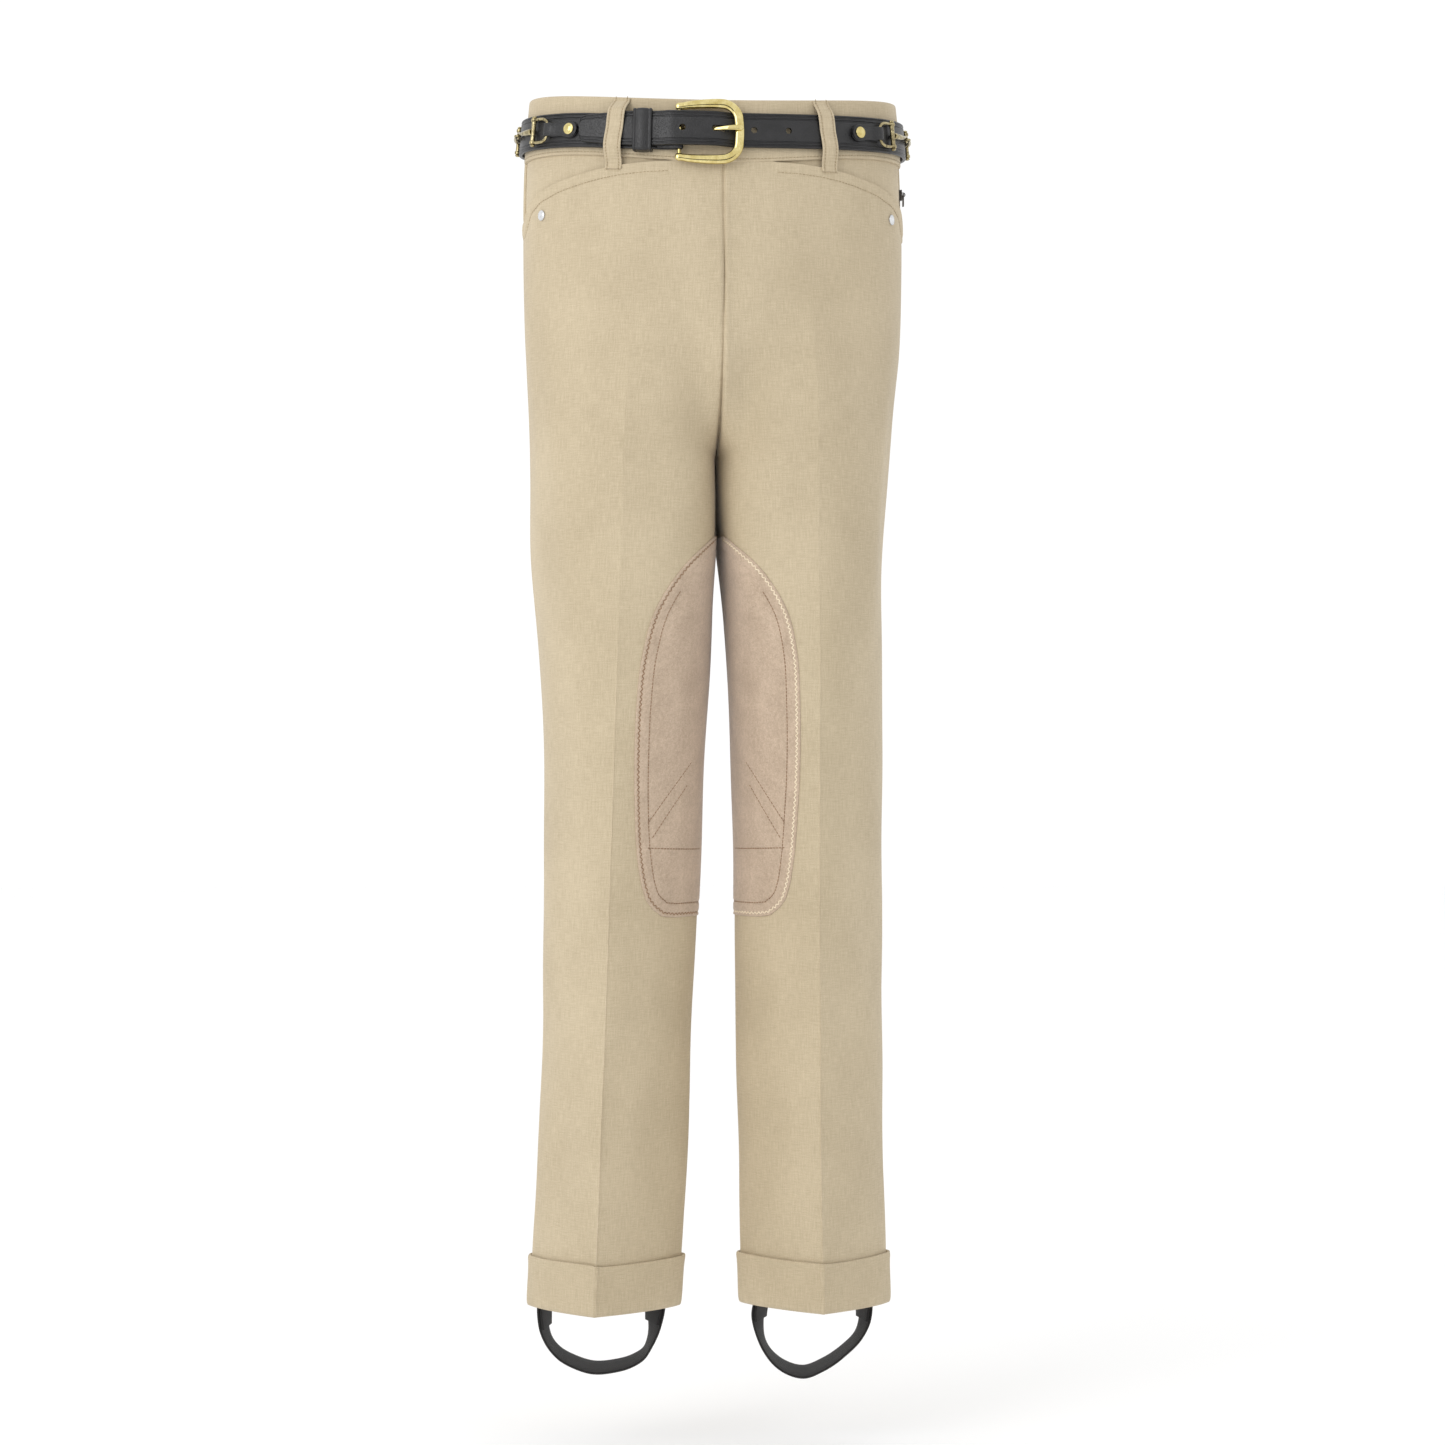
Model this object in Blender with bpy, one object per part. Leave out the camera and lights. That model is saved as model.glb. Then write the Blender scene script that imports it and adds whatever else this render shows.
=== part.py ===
"""Child's riding jodhpurs with a belt, knee patches, turned-up cuffs and elastic stirrup straps.

Tables and sizes are in millimetres and become metres when a mesh is made. The wearer's left is +X,
the front faces -Y and +Z is up. The origin is the middle of the waist, where the wearer holds the
garment up.
"""
import math

import bpy
import bmesh
import numpy as np

METRES = 0.001

# Cloth and leather thicknesses, and the gap left at every seam
SEAM_GAP = 0.33
CLOTH = 1.2
BAND_STAND = 0.6
BAND_CLOTH = 2.4
PATCH_SUEDE = 1.0
CUFF_CLOTH = 2.0
LOOP_CLOTH = 1.5
STRAP_LEATHER = 2.8
THIN_LEATHER = 1.3
TAB_LEATHER = 1.2

# Heights of the crotch point, the cuff and the hem
CROTCH_Z = -245.0
CUFF_TOP_Z = -838.0
CUFF_FOOT_Z = -874.5
HEM_Z = -873.6

# The seat and front curves start to turn under the body at these heights
FRONT_CURVE_Z = -160.0
BACK_CURVE_Z = -120.0
SPLIT_START_Z = -120.0
SPLIT_END_Z = -330.0
CURVE_REACH = 0.15

# Below the crotch each leg hangs turned a little about its own upright middle
LEG_TURN = math.radians(-5.0)
LEG_TURN_FULL_Z = -600.0

# How far each leg hangs off its mirrored place, towards the wearer's left: height, then the right
# leg's outer and inner side and the left leg's inner and outer side
LEG_SHIFT = (
    (-170, 0.0, 0.0, 0.0, 0.0), (-215, -1.0, 0.2, 0.2, -1.2), (-258, -2.5, 0.6, 0.6, -3.0),
    (-318, -4.0, 1.5, 2.8, -3.6), (-378, -2.9, 2.6, 4.8, -1.9), (-438, -1.0, 2.2, 4.4, -0.4),
    (-498, 0.3, 2.2, 4.2, 0.7), (-558, 0.4, 2.0, 3.5, 0.9), (-618, 0.3, 1.4, 2.1, 0.3),
    (-678, -0.3, 0.4, 1.0, -0.3), (-738, -1.8, -0.7, -0.2, -1.5), (-798, -2.5, -1.4, -0.4, -1.8),
    (-838, -3.8, -2.8, -0.4, -1.3), (-875, -4.8, -4.2, -0.4, -1.1),
)

# Heights of the waistband edges and of the belt's middle, at the centre front, side and centre back
BAND_TOP = (11.8, 23.0, 30.0)
BAND_SEAM = (-34.0, -23.0, -12.0)
BELT_MIDDLE = (-11.5, -5.0, 5.0)
BAND_SEAM_POWER = 4
PLAIN_POWER = 2
BAND_OPENING = 0.006
BAND_STATIONS = 45

# Body and legs: half widths, depths and the bend of the section at each height
SECTION_COLUMNS = (
    "z", "side_x", "front_y", "back_y", "crease_x", "inner_x",
    "crease_power", "side_power", "inner_crease_power", "inner_power",
)
SECTIONS = (
    (60, 134.0, -82.0, 80.0, 61.0, 0.0, 1.00, 1.00, 1.00, 1.00),
    (23, 136.9, -84.0, 84.0, 61.5, 0.0, 1.00, 1.00, 1.00, 1.00),
    (-28, 141.0, -88.5, 92.0, 62.0, 0.0, 1.00, 1.00, 1.00, 1.00),
    (-78, 141.8, -93.0, 103.0, 63.5, 0.0, 1.00, 1.00, 1.00, 1.00),
    (-153, 140.3, -92.0, 110.0, 66.0, 0.0, 1.00, 1.00, 0.90, 0.85),
    (-209, 136.5, -88.5, 103.0, 70.0, 0.0, 1.02, 1.00, 0.74, 0.69),
    (-266, 133.9, -85.0, 92.0, 72.0, 0.4, 1.08, 1.02, 0.62, 0.55),
    (-311, 131.8, -82.0, 85.0, 72.0, 2.2, 1.15, 1.04, 0.68, 0.60),
    (-348, 129.8, -79.0, 80.0, 72.6, 4.4, 1.22, 1.06, 0.84, 0.70),
    (-423, 127.1, -72.0, 70.0, 74.0, 8.3, 1.38, 1.10, 1.12, 0.88),
    (-498, 126.4, -66.0, 63.0, 75.4, 11.3, 1.52, 1.16, 1.35, 1.00),
    (-573, 126.6, -63.0, 60.0, 76.9, 13.6, 1.62, 1.22, 1.52, 1.10),
    (-648, 127.2, -61.0, 58.5, 78.6, 16.2, 1.70, 1.28, 1.64, 1.20),
    (-723, 128.6, -59.5, 57.5, 80.3, 18.0, 1.77, 1.34, 1.74, 1.30),
    (-798, 130.5, -58.0, 57.0, 81.8, 19.9, 1.85, 1.40, 1.85, 1.40),
    (-875, 132.5, -57.0, 57.0, 82.3, 22.0, 1.85, 1.40, 1.85, 1.40),
)

# Heights of the rows of faces in each leg panel, below its shaped top edge
PANEL_ROWS = (
    -40, -78, -105, -135, -160, -180, -200, -217, -230, -239, -243.5, -245, -262, -283, -302,
    -325, -355, -390, -425, -465, -505, -555, -575, -584, -640, -700, -760, -815, -838, HEM_Z,
)
SHAPED_ROWS = 2
INNER_COLUMNS = 6
OUTER_COLUMNS = 6

# Top edge of the front pocket, which the front panel follows: distance from centre front, height
POCKET_EDGE = (
    (38, -33.2), (60, -34.0), (82, -36.2), (105, -41.0), (125, -47.5), (135, -54.0),
    (139.5, -62.0), (141.6, -73.0),
)
POCKET_START_X = 40.0
YOKE_START_X = 24.0
YOKE_DEPTH = 1.7
YOKE_UNDERLAP = 10.0
WAIST_ROW_Z = -60.0
YOKE_ROW_Z = -40.0
SECOND_ROW_SHARE = 0.45

# Outline of the suede patch on the inner knee: height, distance of its edge from the middle plane
PATCH_EDGE = (
    (-302, 3.2), (-325, 26.0), (-355, 46.0), (-390, 55.8), (-425, 59.2), (-465, 60.3),
    (-505, 59.4), (-555, 55.0), (-575, 48.5), (-584, 33.0),
)

# Belt and buckle, placed along the waist (a), up and down from the belt's middle (v) and out (h)
BELT_HALF = 12.7
BELT_STAND = 1.6
HEEL_BAR = (-31.5, 4.5)
HEEL_BAR_RADIUS = 1.3
STRAP_TIP_A = -104.0
STRAP_TIP_HALF = (12.2, 11.3, 10.4, 9.6, 8.3, 6.2)
HOLE_PITCH = 25.4
USED_HOLE_A = -3.5
HOLE_RADIUS = 2.3
KEEPER_SPAN = (-64.0, -50.5)
STRAP_STEP = 14.0

# Keeper round both layers: distance across the belt, distance out of the cloth
KEEPER_INNER = ((-15.2, 1.3), (13.1, 1.3), (13.1, 7.85), (-15.2, 7.85))
KEEPER_OUTER = ((-17.0, 0.35), (14.9, 0.35), (14.9, 9.3), (-17.0, 9.3))

# Buckle: it hangs a little lower than the strap's tip and draws the folded end down with it
BUCKLE_DROP = 2.0
DROP_START_A = -120.0
DROP_FULL_A = -50.0
ARM_V = 20.4
HEEL_V = 18.4
BOW_CORNER = 12.5
BOW_SIDE_A = 10.6
CORNER_STATIONS = 6

# Belt loops: place of the middle along the waist, and how many layers of belt each holds
FRONT_LOOP_A = 77.0
BACK_LOOP_A = 262.0
LOOP_WIDTH = 12.5
LOOP_SLANT = 0.10

# Ornamental bit at each side, measured outwards from its own middle along the belt
BIT_MIDDLE = (("left", 161.0), ("right", -170.5))
BIT_H = 7.3
CHEEK_P = 25.0
DEE_BACK_P = 39.0
TAB_RIVET_P = 58.0
TAB_END_RADIUS = 6.2
TAB_HALF = 4.8
DEE_WIRE_RADIUS = 1.1
EYE_RADIUS = 1.9
EYE_WIRE_RADIUS = 0.8

# Turned pieces: distance along the axis, radius
RIVET_PROFILE = ((0, 3.9), (0.5, 4.2), (1.1, 3.7), (1.6, 2.0))
HALF_CHEEK = ((11.3, 0.7), (11.0, 1.7), (10.2, 2.1), (9.6, 1.5), (9.3, 2.3), (7.2, 2.3), (6.9, 1.9))
STUD_PROFILE = ((0, 3.6), (0.5, 3.9), (1.1, 3.2), (1.5, 1.5))
STUD_X = 129.5
STUD_Z = -67.0

# Side zip at the wearer's left
ZIP_TOP_Z = -24.0
ZIP_FOOT_Z = -118.0
ZIP_SLIT_HALF = 0.9
PULL_PIVOT_Z = -42.5
PIVOT_STAND = 1.0
BAIL_RADIUS = 1.5
BAIL_WIRE_RADIUS = 0.42

# Outlines of the tapes and the slider: distance from the slit's middle, distance out of the cloth
TAPES = (
    ("front", -1, ((0.9, -3.6), (9.5, -5.2), (9.5, -6.0), (2.6, -4.9), (2.4, -6.6), (0.9, -6.6))),
    ("back", 1, ((0.9, -1.6), (9.5, -3.2), (9.5, -4.0), (2.6, -2.9), (2.4, -6.6), (0.9, -6.6))),
)
SLIDER_CROWN = 1.2
SLIDER_OUTLINE = (
    (-3.6, -9.0), (3.6, -9.0), (3.6, -7.0), (0.55, -7.0), (0.55, 0.3), (1.9, 0.3),
    (1.9, SLIDER_CROWN), (-1.9, SLIDER_CROWN), (-1.9, 0.3), (-0.55, 0.3), (-0.55, -7.0), (-3.6, -7.0),
)

# Stirrup strap of each leg, from the inner end to the outer end: sideways place from the crease and
# height of its middle, then how far its ends are turned and how far back they sit
STRAP_ROUTES = {
    "left": (
        (-45.0, -850), (-45.0, -862), (-45.6, -874), (-47.6, -886), (-46.6, -898), (-43.5, -909),
        (-38.0, -918), (-27.5, -926.5), (-13.0, -930.5), (2.0, -925), (18.0, -914), (28.6, -903),
        (33.0, -893), (34.2, -882), (34.2, -872), (34.0, -861), (34.0, -850),
    ),
    "right": (
        (-45.4, -850), (-45.2, -862), (-44.6, -874), (-43.2, -886), (-41.3, -898), (-38.6, -906),
        (-34.5, -913.5), (-26.0, -919), (-12.0, -922.8), (3.0, -923.6), (17.5, -919), (28.6, -912.4),
        (35.6, -904), (39.2, -895), (40.4, -884), (40.6, -873), (40.6, -862), (40.6, -850),
    ),
}
ELASTIC_WIDTH = 24.0
ELASTIC = 1.6
ELASTIC_TURN = {"left": (-24.0, 21.0), "right": (-30.0, 16.0)}
ELASTIC_MIDDLE_Y = {"left": (12.9, 13.5), "right": (12.0, 4.0)}
ELASTIC_TILT = 2.5
TILT_START_Z = -880.0
TILT_REACH = 40.0
TAB_GAP = 0.6
TAB_FOOT_Z = -893.0


def clear_scene():
    for item in list(bpy.data.objects):
        bpy.data.objects.remove(item)


def finish(name, colour, roughness, metallic=0.0):
    """One plain surface finish, made once and shared by the pieces that have it."""
    made = bpy.data.materials.get(name)
    if made:
        return made
    made = bpy.data.materials.new(name)
    made.use_nodes = True
    shader = made.node_tree.nodes["Principled BSDF"]
    shader.inputs["Base Color"].default_value = (*colour, 1.0)
    shader.inputs["Roughness"].default_value = roughness
    shader.inputs["Metallic"].default_value = metallic
    return made


def twill():
    return finish("tan_twill", (0.55, 0.46, 0.33), 0.85)


def suede():
    return finish("suede", (0.55, 0.42, 0.31), 0.95)


def belt_leather():
    return finish("black_leather", (0.022, 0.022, 0.024), 0.42)


def elastic_web():
    return finish("black_elastic", (0.02, 0.018, 0.018), 0.8)


def brass():
    return finish("brass", (0.78, 0.6, 0.28), 0.22, 1.0)


def silver():
    return finish("silver_metal", (0.7, 0.7, 0.69), 0.3, 1.0)


def dark_metal():
    return finish("dark_metal", (0.16, 0.15, 0.14), 0.4, 1.0)


def add_solid(name, points, faces, material, smooth=True):
    """A closed body from points in millimetres, with its faces turned outwards."""
    mesh = bpy.data.meshes.new(name)
    mesh.from_pydata((np.asarray(points) * METRES).tolist(), [], [list(map(int, f)) for f in faces])
    work = bmesh.new()
    work.from_mesh(mesh)
    bmesh.ops.recalc_face_normals(work, faces=work.faces)
    work.to_mesh(mesh)
    work.free()
    if smooth:
        mesh.shade_smooth()
        mesh.set_sharp_from_angle(angle=math.radians(35))
    mesh.materials.append(material)
    made = bpy.data.objects.new(name, mesh)
    bpy.context.scene.collection.objects.link(made)
    return made


def grid_triangles(rows, columns, start=0, loop=False):
    """Two triangles for each cell of a grid, always split along the same diagonal."""
    faces = []
    last = columns if loop else columns - 1
    for i in range(rows - 1):
        for j in range(last):
            here = start + i * columns + j
            right = start + i * columns + (j + 1) % columns
            below = here + columns
            corner = right + columns
            faces.append((here, right, corner))
            faces.append((here, corner, below))
    return faces


def open_edges(faces):
    """Directed edges that only one of the faces has: the rim of a sheet."""
    rim = {}
    for face in faces:
        for a, b in zip(face, list(face[1:]) + list(face[:1])):
            if (b, a) in rim:
                rim.pop((b, a))
            else:
                rim[(a, b)] = True
    return list(rim)


def wall(name, outer, inner, material, loop=False):
    """A cloth wall between two grids of points; with loop it closes round like a tube."""
    rows, columns = outer.shape[:2]
    points = np.concatenate([outer.reshape(-1, 3), inner.reshape(-1, 3)])
    shift = rows * columns
    front = grid_triangles(rows, columns, 0, loop)
    faces = front + [(c + shift, b + shift, a + shift) for a, b, c in front]
    faces += [(b, a, a + shift, b + shift) for a, b in open_edges(front)]
    return add_solid(name, points, faces, material)


def loft(name, rings, material, loop=False):
    """A solid bar through rings of points, capped at both ends unless it closes on itself."""
    rings = np.asarray(rings)
    count, around = rings.shape[:2]
    faces = []
    for i in range(count if loop else count - 1):
        following = (i + 1) % count
        for j in range(around):
            beside = (j + 1) % around
            faces.append((i * around + j, i * around + beside,
                          following * around + beside, following * around + j))
    if not loop:
        faces.append(tuple(range(around)))
        faces.append(tuple(range((count - 1) * around, count * around))[::-1])
    return add_solid(name, rings.reshape(-1, 3), faces, material)


def smooth_through(at, knots, values):
    """A smooth curve through rising knots, held level past both ends."""
    knots = np.asarray(knots, float)
    values = np.asarray(values, float)
    slopes = np.gradient(values, knots)
    at = np.clip(at, knots[0], knots[-1])
    i = np.clip(np.searchsorted(knots, at, side="right") - 1, 0, len(knots) - 2)
    span = knots[i + 1] - knots[i]
    t = (at - knots[i]) / span
    start = (1 + 2 * t) * (1 - t) ** 2 * values[i] + t * (1 - t) ** 2 * span * slopes[i]
    return start + t * t * (3 - 2 * t) * values[i + 1] + t * t * (t - 1) * span * slopes[i + 1]


SECTION_ROWS = np.array(SECTIONS, float)[::-1]


def section(z):
    """Sizes of the garment's section at a height, by column name."""
    return {
        column: smooth_through(z, SECTION_ROWS[:, 0], SECTION_ROWS[:, k])
        for k, column in enumerate(SECTION_COLUMNS)
        if k
    }


def smooth_step(t):
    t = np.clip(t, 0.0, 1.0)
    return t * t * (3 - 2 * t)


def half_section(half, u, z):
    """A point on the wearer's left half. half is -1 in front and +1 behind; u runs from the
    centre seam or inseam at 0, through the crease at 0.5, to the side seam at 1."""
    half, u, z = np.broadcast_arrays(np.asarray(half, float), u, z)
    size = section(z)
    depth = np.where(half < 0, size["front_y"], size["back_y"])
    inner = u < 0.5
    crease_angle = np.arcsin(size["crease_x"] / size["side_x"])
    angle = np.where(
        inner,
        crease_angle * u / 0.5,
        crease_angle + (math.pi / 2 - crease_angle) * (u - 0.5) / 0.5,
    )
    body_x = size["side_x"] * np.sin(angle)
    body_y = depth * np.cos(angle)
    turn = np.where(inner, u, 1 - u) * math.pi
    cosine = np.clip(np.cos(turn), 0, 1)
    sine = np.clip(np.sin(turn), 0, 1)
    reach = np.where(inner, size["inner_x"] - size["crease_x"], size["side_x"] - size["crease_x"])
    along = np.where(inner, size["inner_crease_power"], size["crease_power"])
    across = np.where(inner, size["inner_power"], size["side_power"])
    leg_x = size["crease_x"] + reach * cosine**along
    leg_y = depth * sine**across
    start = np.where(half < 0, FRONT_CURVE_Z, BACK_CURVE_Z)
    fall = np.clip((start - z) / (start - CROTCH_Z), 0, 1)
    at_seam = 1 - np.sqrt(1 - fall * fall)
    elsewhere = smooth_step((SPLIT_START_Z - z) / (SPLIT_START_Z - SPLIT_END_Z))
    split = elsewhere + (at_seam - elsewhere) * np.exp(-((u / CURVE_REACH) ** 2))
    return np.stack(
        [body_x + (leg_x - body_x) * split, body_y + (leg_y - body_y) * split, z + 0 * u], axis=-1
    )


def around(w, z):
    """The same surface by one running parameter: 0 to 1 in front, 1 to 2 behind. Past either end it
    goes on over the centre line above the crotch, and round the inseam below it."""
    w, z = np.broadcast_arrays(np.asarray(w, float), z)
    before = w < 0
    after = w > 2
    leg = z < CROTCH_Z
    u = np.where(before, -w, np.where(after, w - 2, np.where(w <= 1, w, 2 - w)))
    half = np.where(w <= 1, -1.0, 1.0)
    half = np.where(before & leg, 1.0, np.where(after & leg, -1.0, half))
    point = half_section(half, u, z)
    mirror = (before | after) & ~leg
    point[..., 0] = np.where(mirror, -point[..., 0], point[..., 0])
    return point


def outward(w, z):
    step_w, step_z = 0.004, 0.5
    along = around(w + step_w, z) - around(w - step_w, z)
    up = around(w, z + step_z) - around(w, z - step_z)
    normal = np.cross(along, up)
    return normal / np.linalg.norm(normal, axis=-1, keepdims=True)


SHIFT_ROWS = np.array(LEG_SHIFT, float)[::-1]


def leg_shift(x, z):
    """How far a point hangs off its mirrored place, towards the wearer's left."""
    size = section(z)
    right_outer, right_inner, left_inner, left_outer = (
        smooth_through(z, SHIFT_ROWS[:, 0], SHIFT_ROWS[:, k]) for k in (1, 2, 3, 4)
    )
    inner = np.where(x > 0, left_inner, right_inner)
    outer = np.where(x > 0, left_outer, right_outer)
    share = (np.abs(x) - size["inner_x"]) / (size["side_x"] - size["inner_x"])
    return inner + (outer - inner) * share


def turned_leg(points):
    """Turns points of either leg about the leg's own middle and shifts them as the leg hangs."""
    z = points[..., 2]
    size = section(z)
    middle_x = np.sign(points[..., 0]) * (size["side_x"] + size["inner_x"]) / 2
    share = smooth_step((CROTCH_Z - z) / (CROTCH_Z - LEG_TURN_FULL_Z))
    cosine, sine = np.cos(LEG_TURN * share), np.sin(LEG_TURN * share)
    x, y = points[..., 0] - middle_x, points[..., 1]
    turned_x = middle_x + cosine * x - sine * y + leg_shift(points[..., 0], z)
    return np.stack([turned_x, sine * x + cosine * y, z], axis=-1)


def column_places(half, z):
    """u of each column of faces, evenly spaced along the cloth on each side of the crease."""
    fine = np.linspace(0, 1, 121)
    points = half_section(half, fine, np.full_like(fine, z))
    length = np.concatenate([[0], np.cumsum(np.linalg.norm(np.diff(points, axis=0), axis=1))])
    crease = length[60]
    inner = np.linspace(0, crease, INNER_COLUMNS + 1)
    outer = np.linspace(crease, length[-1], OUTER_COLUMNS + 1)[1:]
    return np.interp(np.concatenate([inner, outer]), length, fine)


def band_height(edge, u, half, power=PLAIN_POWER):
    """Height of a line round the waist at u, from its heights at front, side and back."""
    front, side, back = edge
    size = section(side)
    crease_angle = math.asin(size["crease_x"] / size["side_x"])
    angle = np.where(
        u < 0.5, crease_angle * u / 0.5,
        crease_angle + (math.pi / 2 - crease_angle) * (u - 0.5) / 0.5,
    )
    return side + ((front if half < 0 else back) - side) * np.cos(angle) ** power


def pocket_height(x):
    edge = np.array(POCKET_EDGE, float)
    return smooth_through(x, edge[:, 0], edge[:, 1])


def panel_grid(half):
    """Points and outward directions of one leg panel of the wearer's left, row by row."""
    rows = []
    normals = []
    for i, z in enumerate(PANEL_ROWS):
        u = column_places(half, min(z, WAIST_ROW_Z) if i < SHAPED_ROWS else z)
        heights = np.full_like(u, z)
        if i < SHAPED_ROWS:
            top = band_height(BAND_SEAM, u, half, BAND_SEAM_POWER) - SEAM_GAP
            if half < 0:
                x = half_section(half, u, heights)[:, 0]
                top = np.where(x > POCKET_START_X, np.minimum(top, pocket_height(x)), top)
            heights = top if i == 0 else z + (top - PANEL_ROWS[0]) * SECOND_ROW_SHARE
        rows.append(half_section(half, u, heights))
        normals.append(outward(u if half < 0 else 2 - u, heights))
    return np.array(rows), np.array(normals)


GRIDS = {half: panel_grid(half) for half in (-1, 1)}


def trimmed(points, half, side, zip_slit=True):
    """Keeps a panel's points on their own side of the seams; the zip's slit is wider."""
    points = points.copy()
    points[..., 0] = np.maximum(points[..., 0], SEAM_GAP / 2)
    slit = (side > 0) & zip_slit & (points[..., 2] > ZIP_FOOT_Z) & (points[..., 0] > 100)
    least = np.where(slit, ZIP_SLIT_HALF, SEAM_GAP / 2)
    points[..., 1] = half * np.maximum(half * points[..., 1], least)
    points[..., 0] *= side
    return turned_leg(points)


SIDES = (("left", 1), ("right", -1))
HALVES = (("front", -1), ("back", 1))


def add_panels():
    for half_name, half in HALVES:
        surface, normals = GRIDS[half]
        for side_name, side in SIDES:
            outer = trimmed(surface, half, side)
            inner = trimmed(surface - CLOTH * normals, half, side)
            wall(f"{half_name}_panel_{side_name}", outer, inner, twill())


def add_hip_yokes():
    """The pocket bearer behind each front pocket, from the waist seam to under the pocket edge."""
    u = column_places(-1, WAIST_ROW_Z)
    x = half_section(-1, u, np.full_like(u, YOKE_ROW_Z))[:, 0]
    keep = x > YOKE_START_X
    u = u[keep]
    x = x[keep]
    top = band_height(BAND_SEAM, u, -1, BAND_SEAM_POWER) - SEAM_GAP
    foot = pocket_height(x) - YOKE_UNDERLAP
    heights = np.array([top + (foot - top) * t for t in (0.0, 0.33, 0.67, 1.0)])
    places = np.broadcast_to(u, heights.shape)
    surface = half_section(-1, places, heights)
    normals = outward(places, heights)
    for side_name, side in SIDES:
        outer = trimmed(surface - YOKE_DEPTH * normals, -1, side)
        inner = trimmed(surface - (YOKE_DEPTH + CLOTH) * normals, -1, side)
        wall(f"hip_yoke_{side_name}", outer, inner, twill())


def clip(polygon, start, end):
    """The part of a polygon of (column, row) points that lies left of a line down the panel."""
    def beyond(point):
        share = (point[1] - start[1]) / (end[1] - start[1])
        return point[0] - (start[0] + (end[0] - start[0]) * share)

    kept = []
    for here, there in zip(polygon, polygon[1:] + polygon[:1]):
        first, second = beyond(here), beyond(there)
        if first <= 0:
            kept.append(here)
        if first * second < 0:
            share = first / (first - second)
            kept.append(tuple(p + (q - p) * share for p, q in zip(here, there)))
    return kept


def grid_value(grid, column, row):
    """Value on a grid between its points, along the lines of its faces."""
    i, j = min(int(row), len(grid) - 2), min(int(column), grid.shape[1] - 2)
    down, across = row - i, column - j
    corner = grid[i + 1, j + 1]
    if across >= down:
        return grid[i, j] * (1 - across) + grid[i, j + 1] * (across - down) + corner * down
    return grid[i, j] * (1 - down) + grid[i + 1, j] * (down - across) + corner * across


def add_knee_patches():
    """Suede on the inner knee, cut on the leg panels' own faces and moved out from them."""
    first = PANEL_ROWS.index(PATCH_EDGE[0][0])
    reach = [edge for _, edge in PATCH_EDGE]
    rows_used = range(first, first + len(PATCH_EDGE))
    keys = {}
    faces = []
    for half in (-1, 1):
        surface = GRIDS[half][0]
        columns = np.arange(surface.shape[1])
        edges = [np.interp(x, surface[i, :, 0], columns) for i, x in zip(rows_used, reach)]
        for i, near, far in zip(rows_used, edges, edges[1:]):
            for j in range(int(max(near, far)) + 1):
                corners = [(j, i), (j + 1, i), (j + 1, i + 1), (j, i + 1)]
                for triangle in (corners[:3], [corners[0], corners[2], corners[3]]):
                    piece = clip(triangle, (near, i), (far, i + 1))
                    named = [(round(-half * c, 4) + 0.0, round(r, 4)) for c, r in piece]
                    named = [p for k, p in enumerate(named) if p != named[k - 1]]
                    if len(named) > 2:
                        faces.append([keys.setdefault(p, len(keys)) for p in named][::-half])
    surface_points = []
    directions = []
    for column, row in keys:
        half = 1 if column < 0 else -1
        point = grid_value(GRIDS[half][0], abs(column), row)
        direction = grid_value(GRIDS[half][1], abs(column), row)
        surface_points.append(point)
        directions.append(direction / np.linalg.norm(direction))
    surface_points = np.array(surface_points)
    directions = np.array(directions)
    inner = surface_points + SEAM_GAP * directions
    outer = inner + PATCH_SUEDE * directions
    points = np.concatenate([outer, inner])
    shift = len(outer)
    solid_faces = [tuple(face) for face in faces]
    solid_faces += [tuple(p + shift for p in face)[::-1] for face in faces]
    solid_faces += [(b, a, a + shift, b + shift) for a, b in open_edges(faces)]
    for side_name, side in SIDES:
        placed = turned_leg(points * (side, 1, 1))
        add_solid(f"knee_patch_{side_name}", placed, solid_faces, suede())


def leg_ring(z, stand):
    """Points round one leg at a height, on the panels' columns, moved out by stand."""
    front = column_places(-1, z)
    back = column_places(1, z)
    w = np.concatenate([front, (2 - back)[::-1][1:-1]])
    height = np.full_like(w, z)
    points = around(w, height) + np.reshape(stand, (-1, 1)) * outward(w, height)
    points[0, 1] = 0.0
    return points


def add_cuffs():
    stands = ((CUFF_TOP_Z, 0.5), (-850.0, 0.7), (-864.0, 0.6), (CUFF_FOOT_Z, 0.4))
    inner = np.array([leg_ring(z, stand) for z, stand in stands])
    outer = np.array([leg_ring(z, stand + CUFF_CLOTH) for z, stand in stands])
    for side_name, side in SIDES:
        placed = [turned_leg(grid * (side, 1, 1)) for grid in (outer, inner)]
        wall(f"cuff_{side_name}", *placed, twill(), loop=True)


def waist_point(theta, z):
    """A point on the body at an angle round the waist, 0 in front and rising to the left."""
    size = section(z)
    depth = np.where(np.cos(theta) > 0, size["front_y"], -size["back_y"])
    return np.stack([size["side_x"] * np.sin(theta), depth * np.cos(theta), z + 0 * theta], axis=-1)


def waist_normal(theta, z):
    along = waist_point(theta + 0.01, z) - waist_point(theta - 0.01, z)
    up = waist_point(theta, z + 0.5) - waist_point(theta, z - 0.5)
    normal = np.cross(along, up)
    return normal / np.linalg.norm(normal, axis=-1, keepdims=True)


def line_height(edge, theta, power=PLAIN_POWER):
    front, side, back = edge
    return side + np.where(np.cos(theta) > 0, front - side, back - side) * np.abs(np.cos(theta)) ** power


TURN = np.linspace(-math.pi, math.pi, 1441)
TURN_POINTS = waist_point(TURN, line_height(BELT_MIDDLE, TURN))
TURN_LENGTH = np.concatenate(
    [[0], np.cumsum(np.linalg.norm(np.diff(TURN_POINTS, axis=0), axis=1))]
)
GIRTH = float(TURN_LENGTH[-1])
TURN_A = TURN_LENGTH - GIRTH / 2


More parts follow.
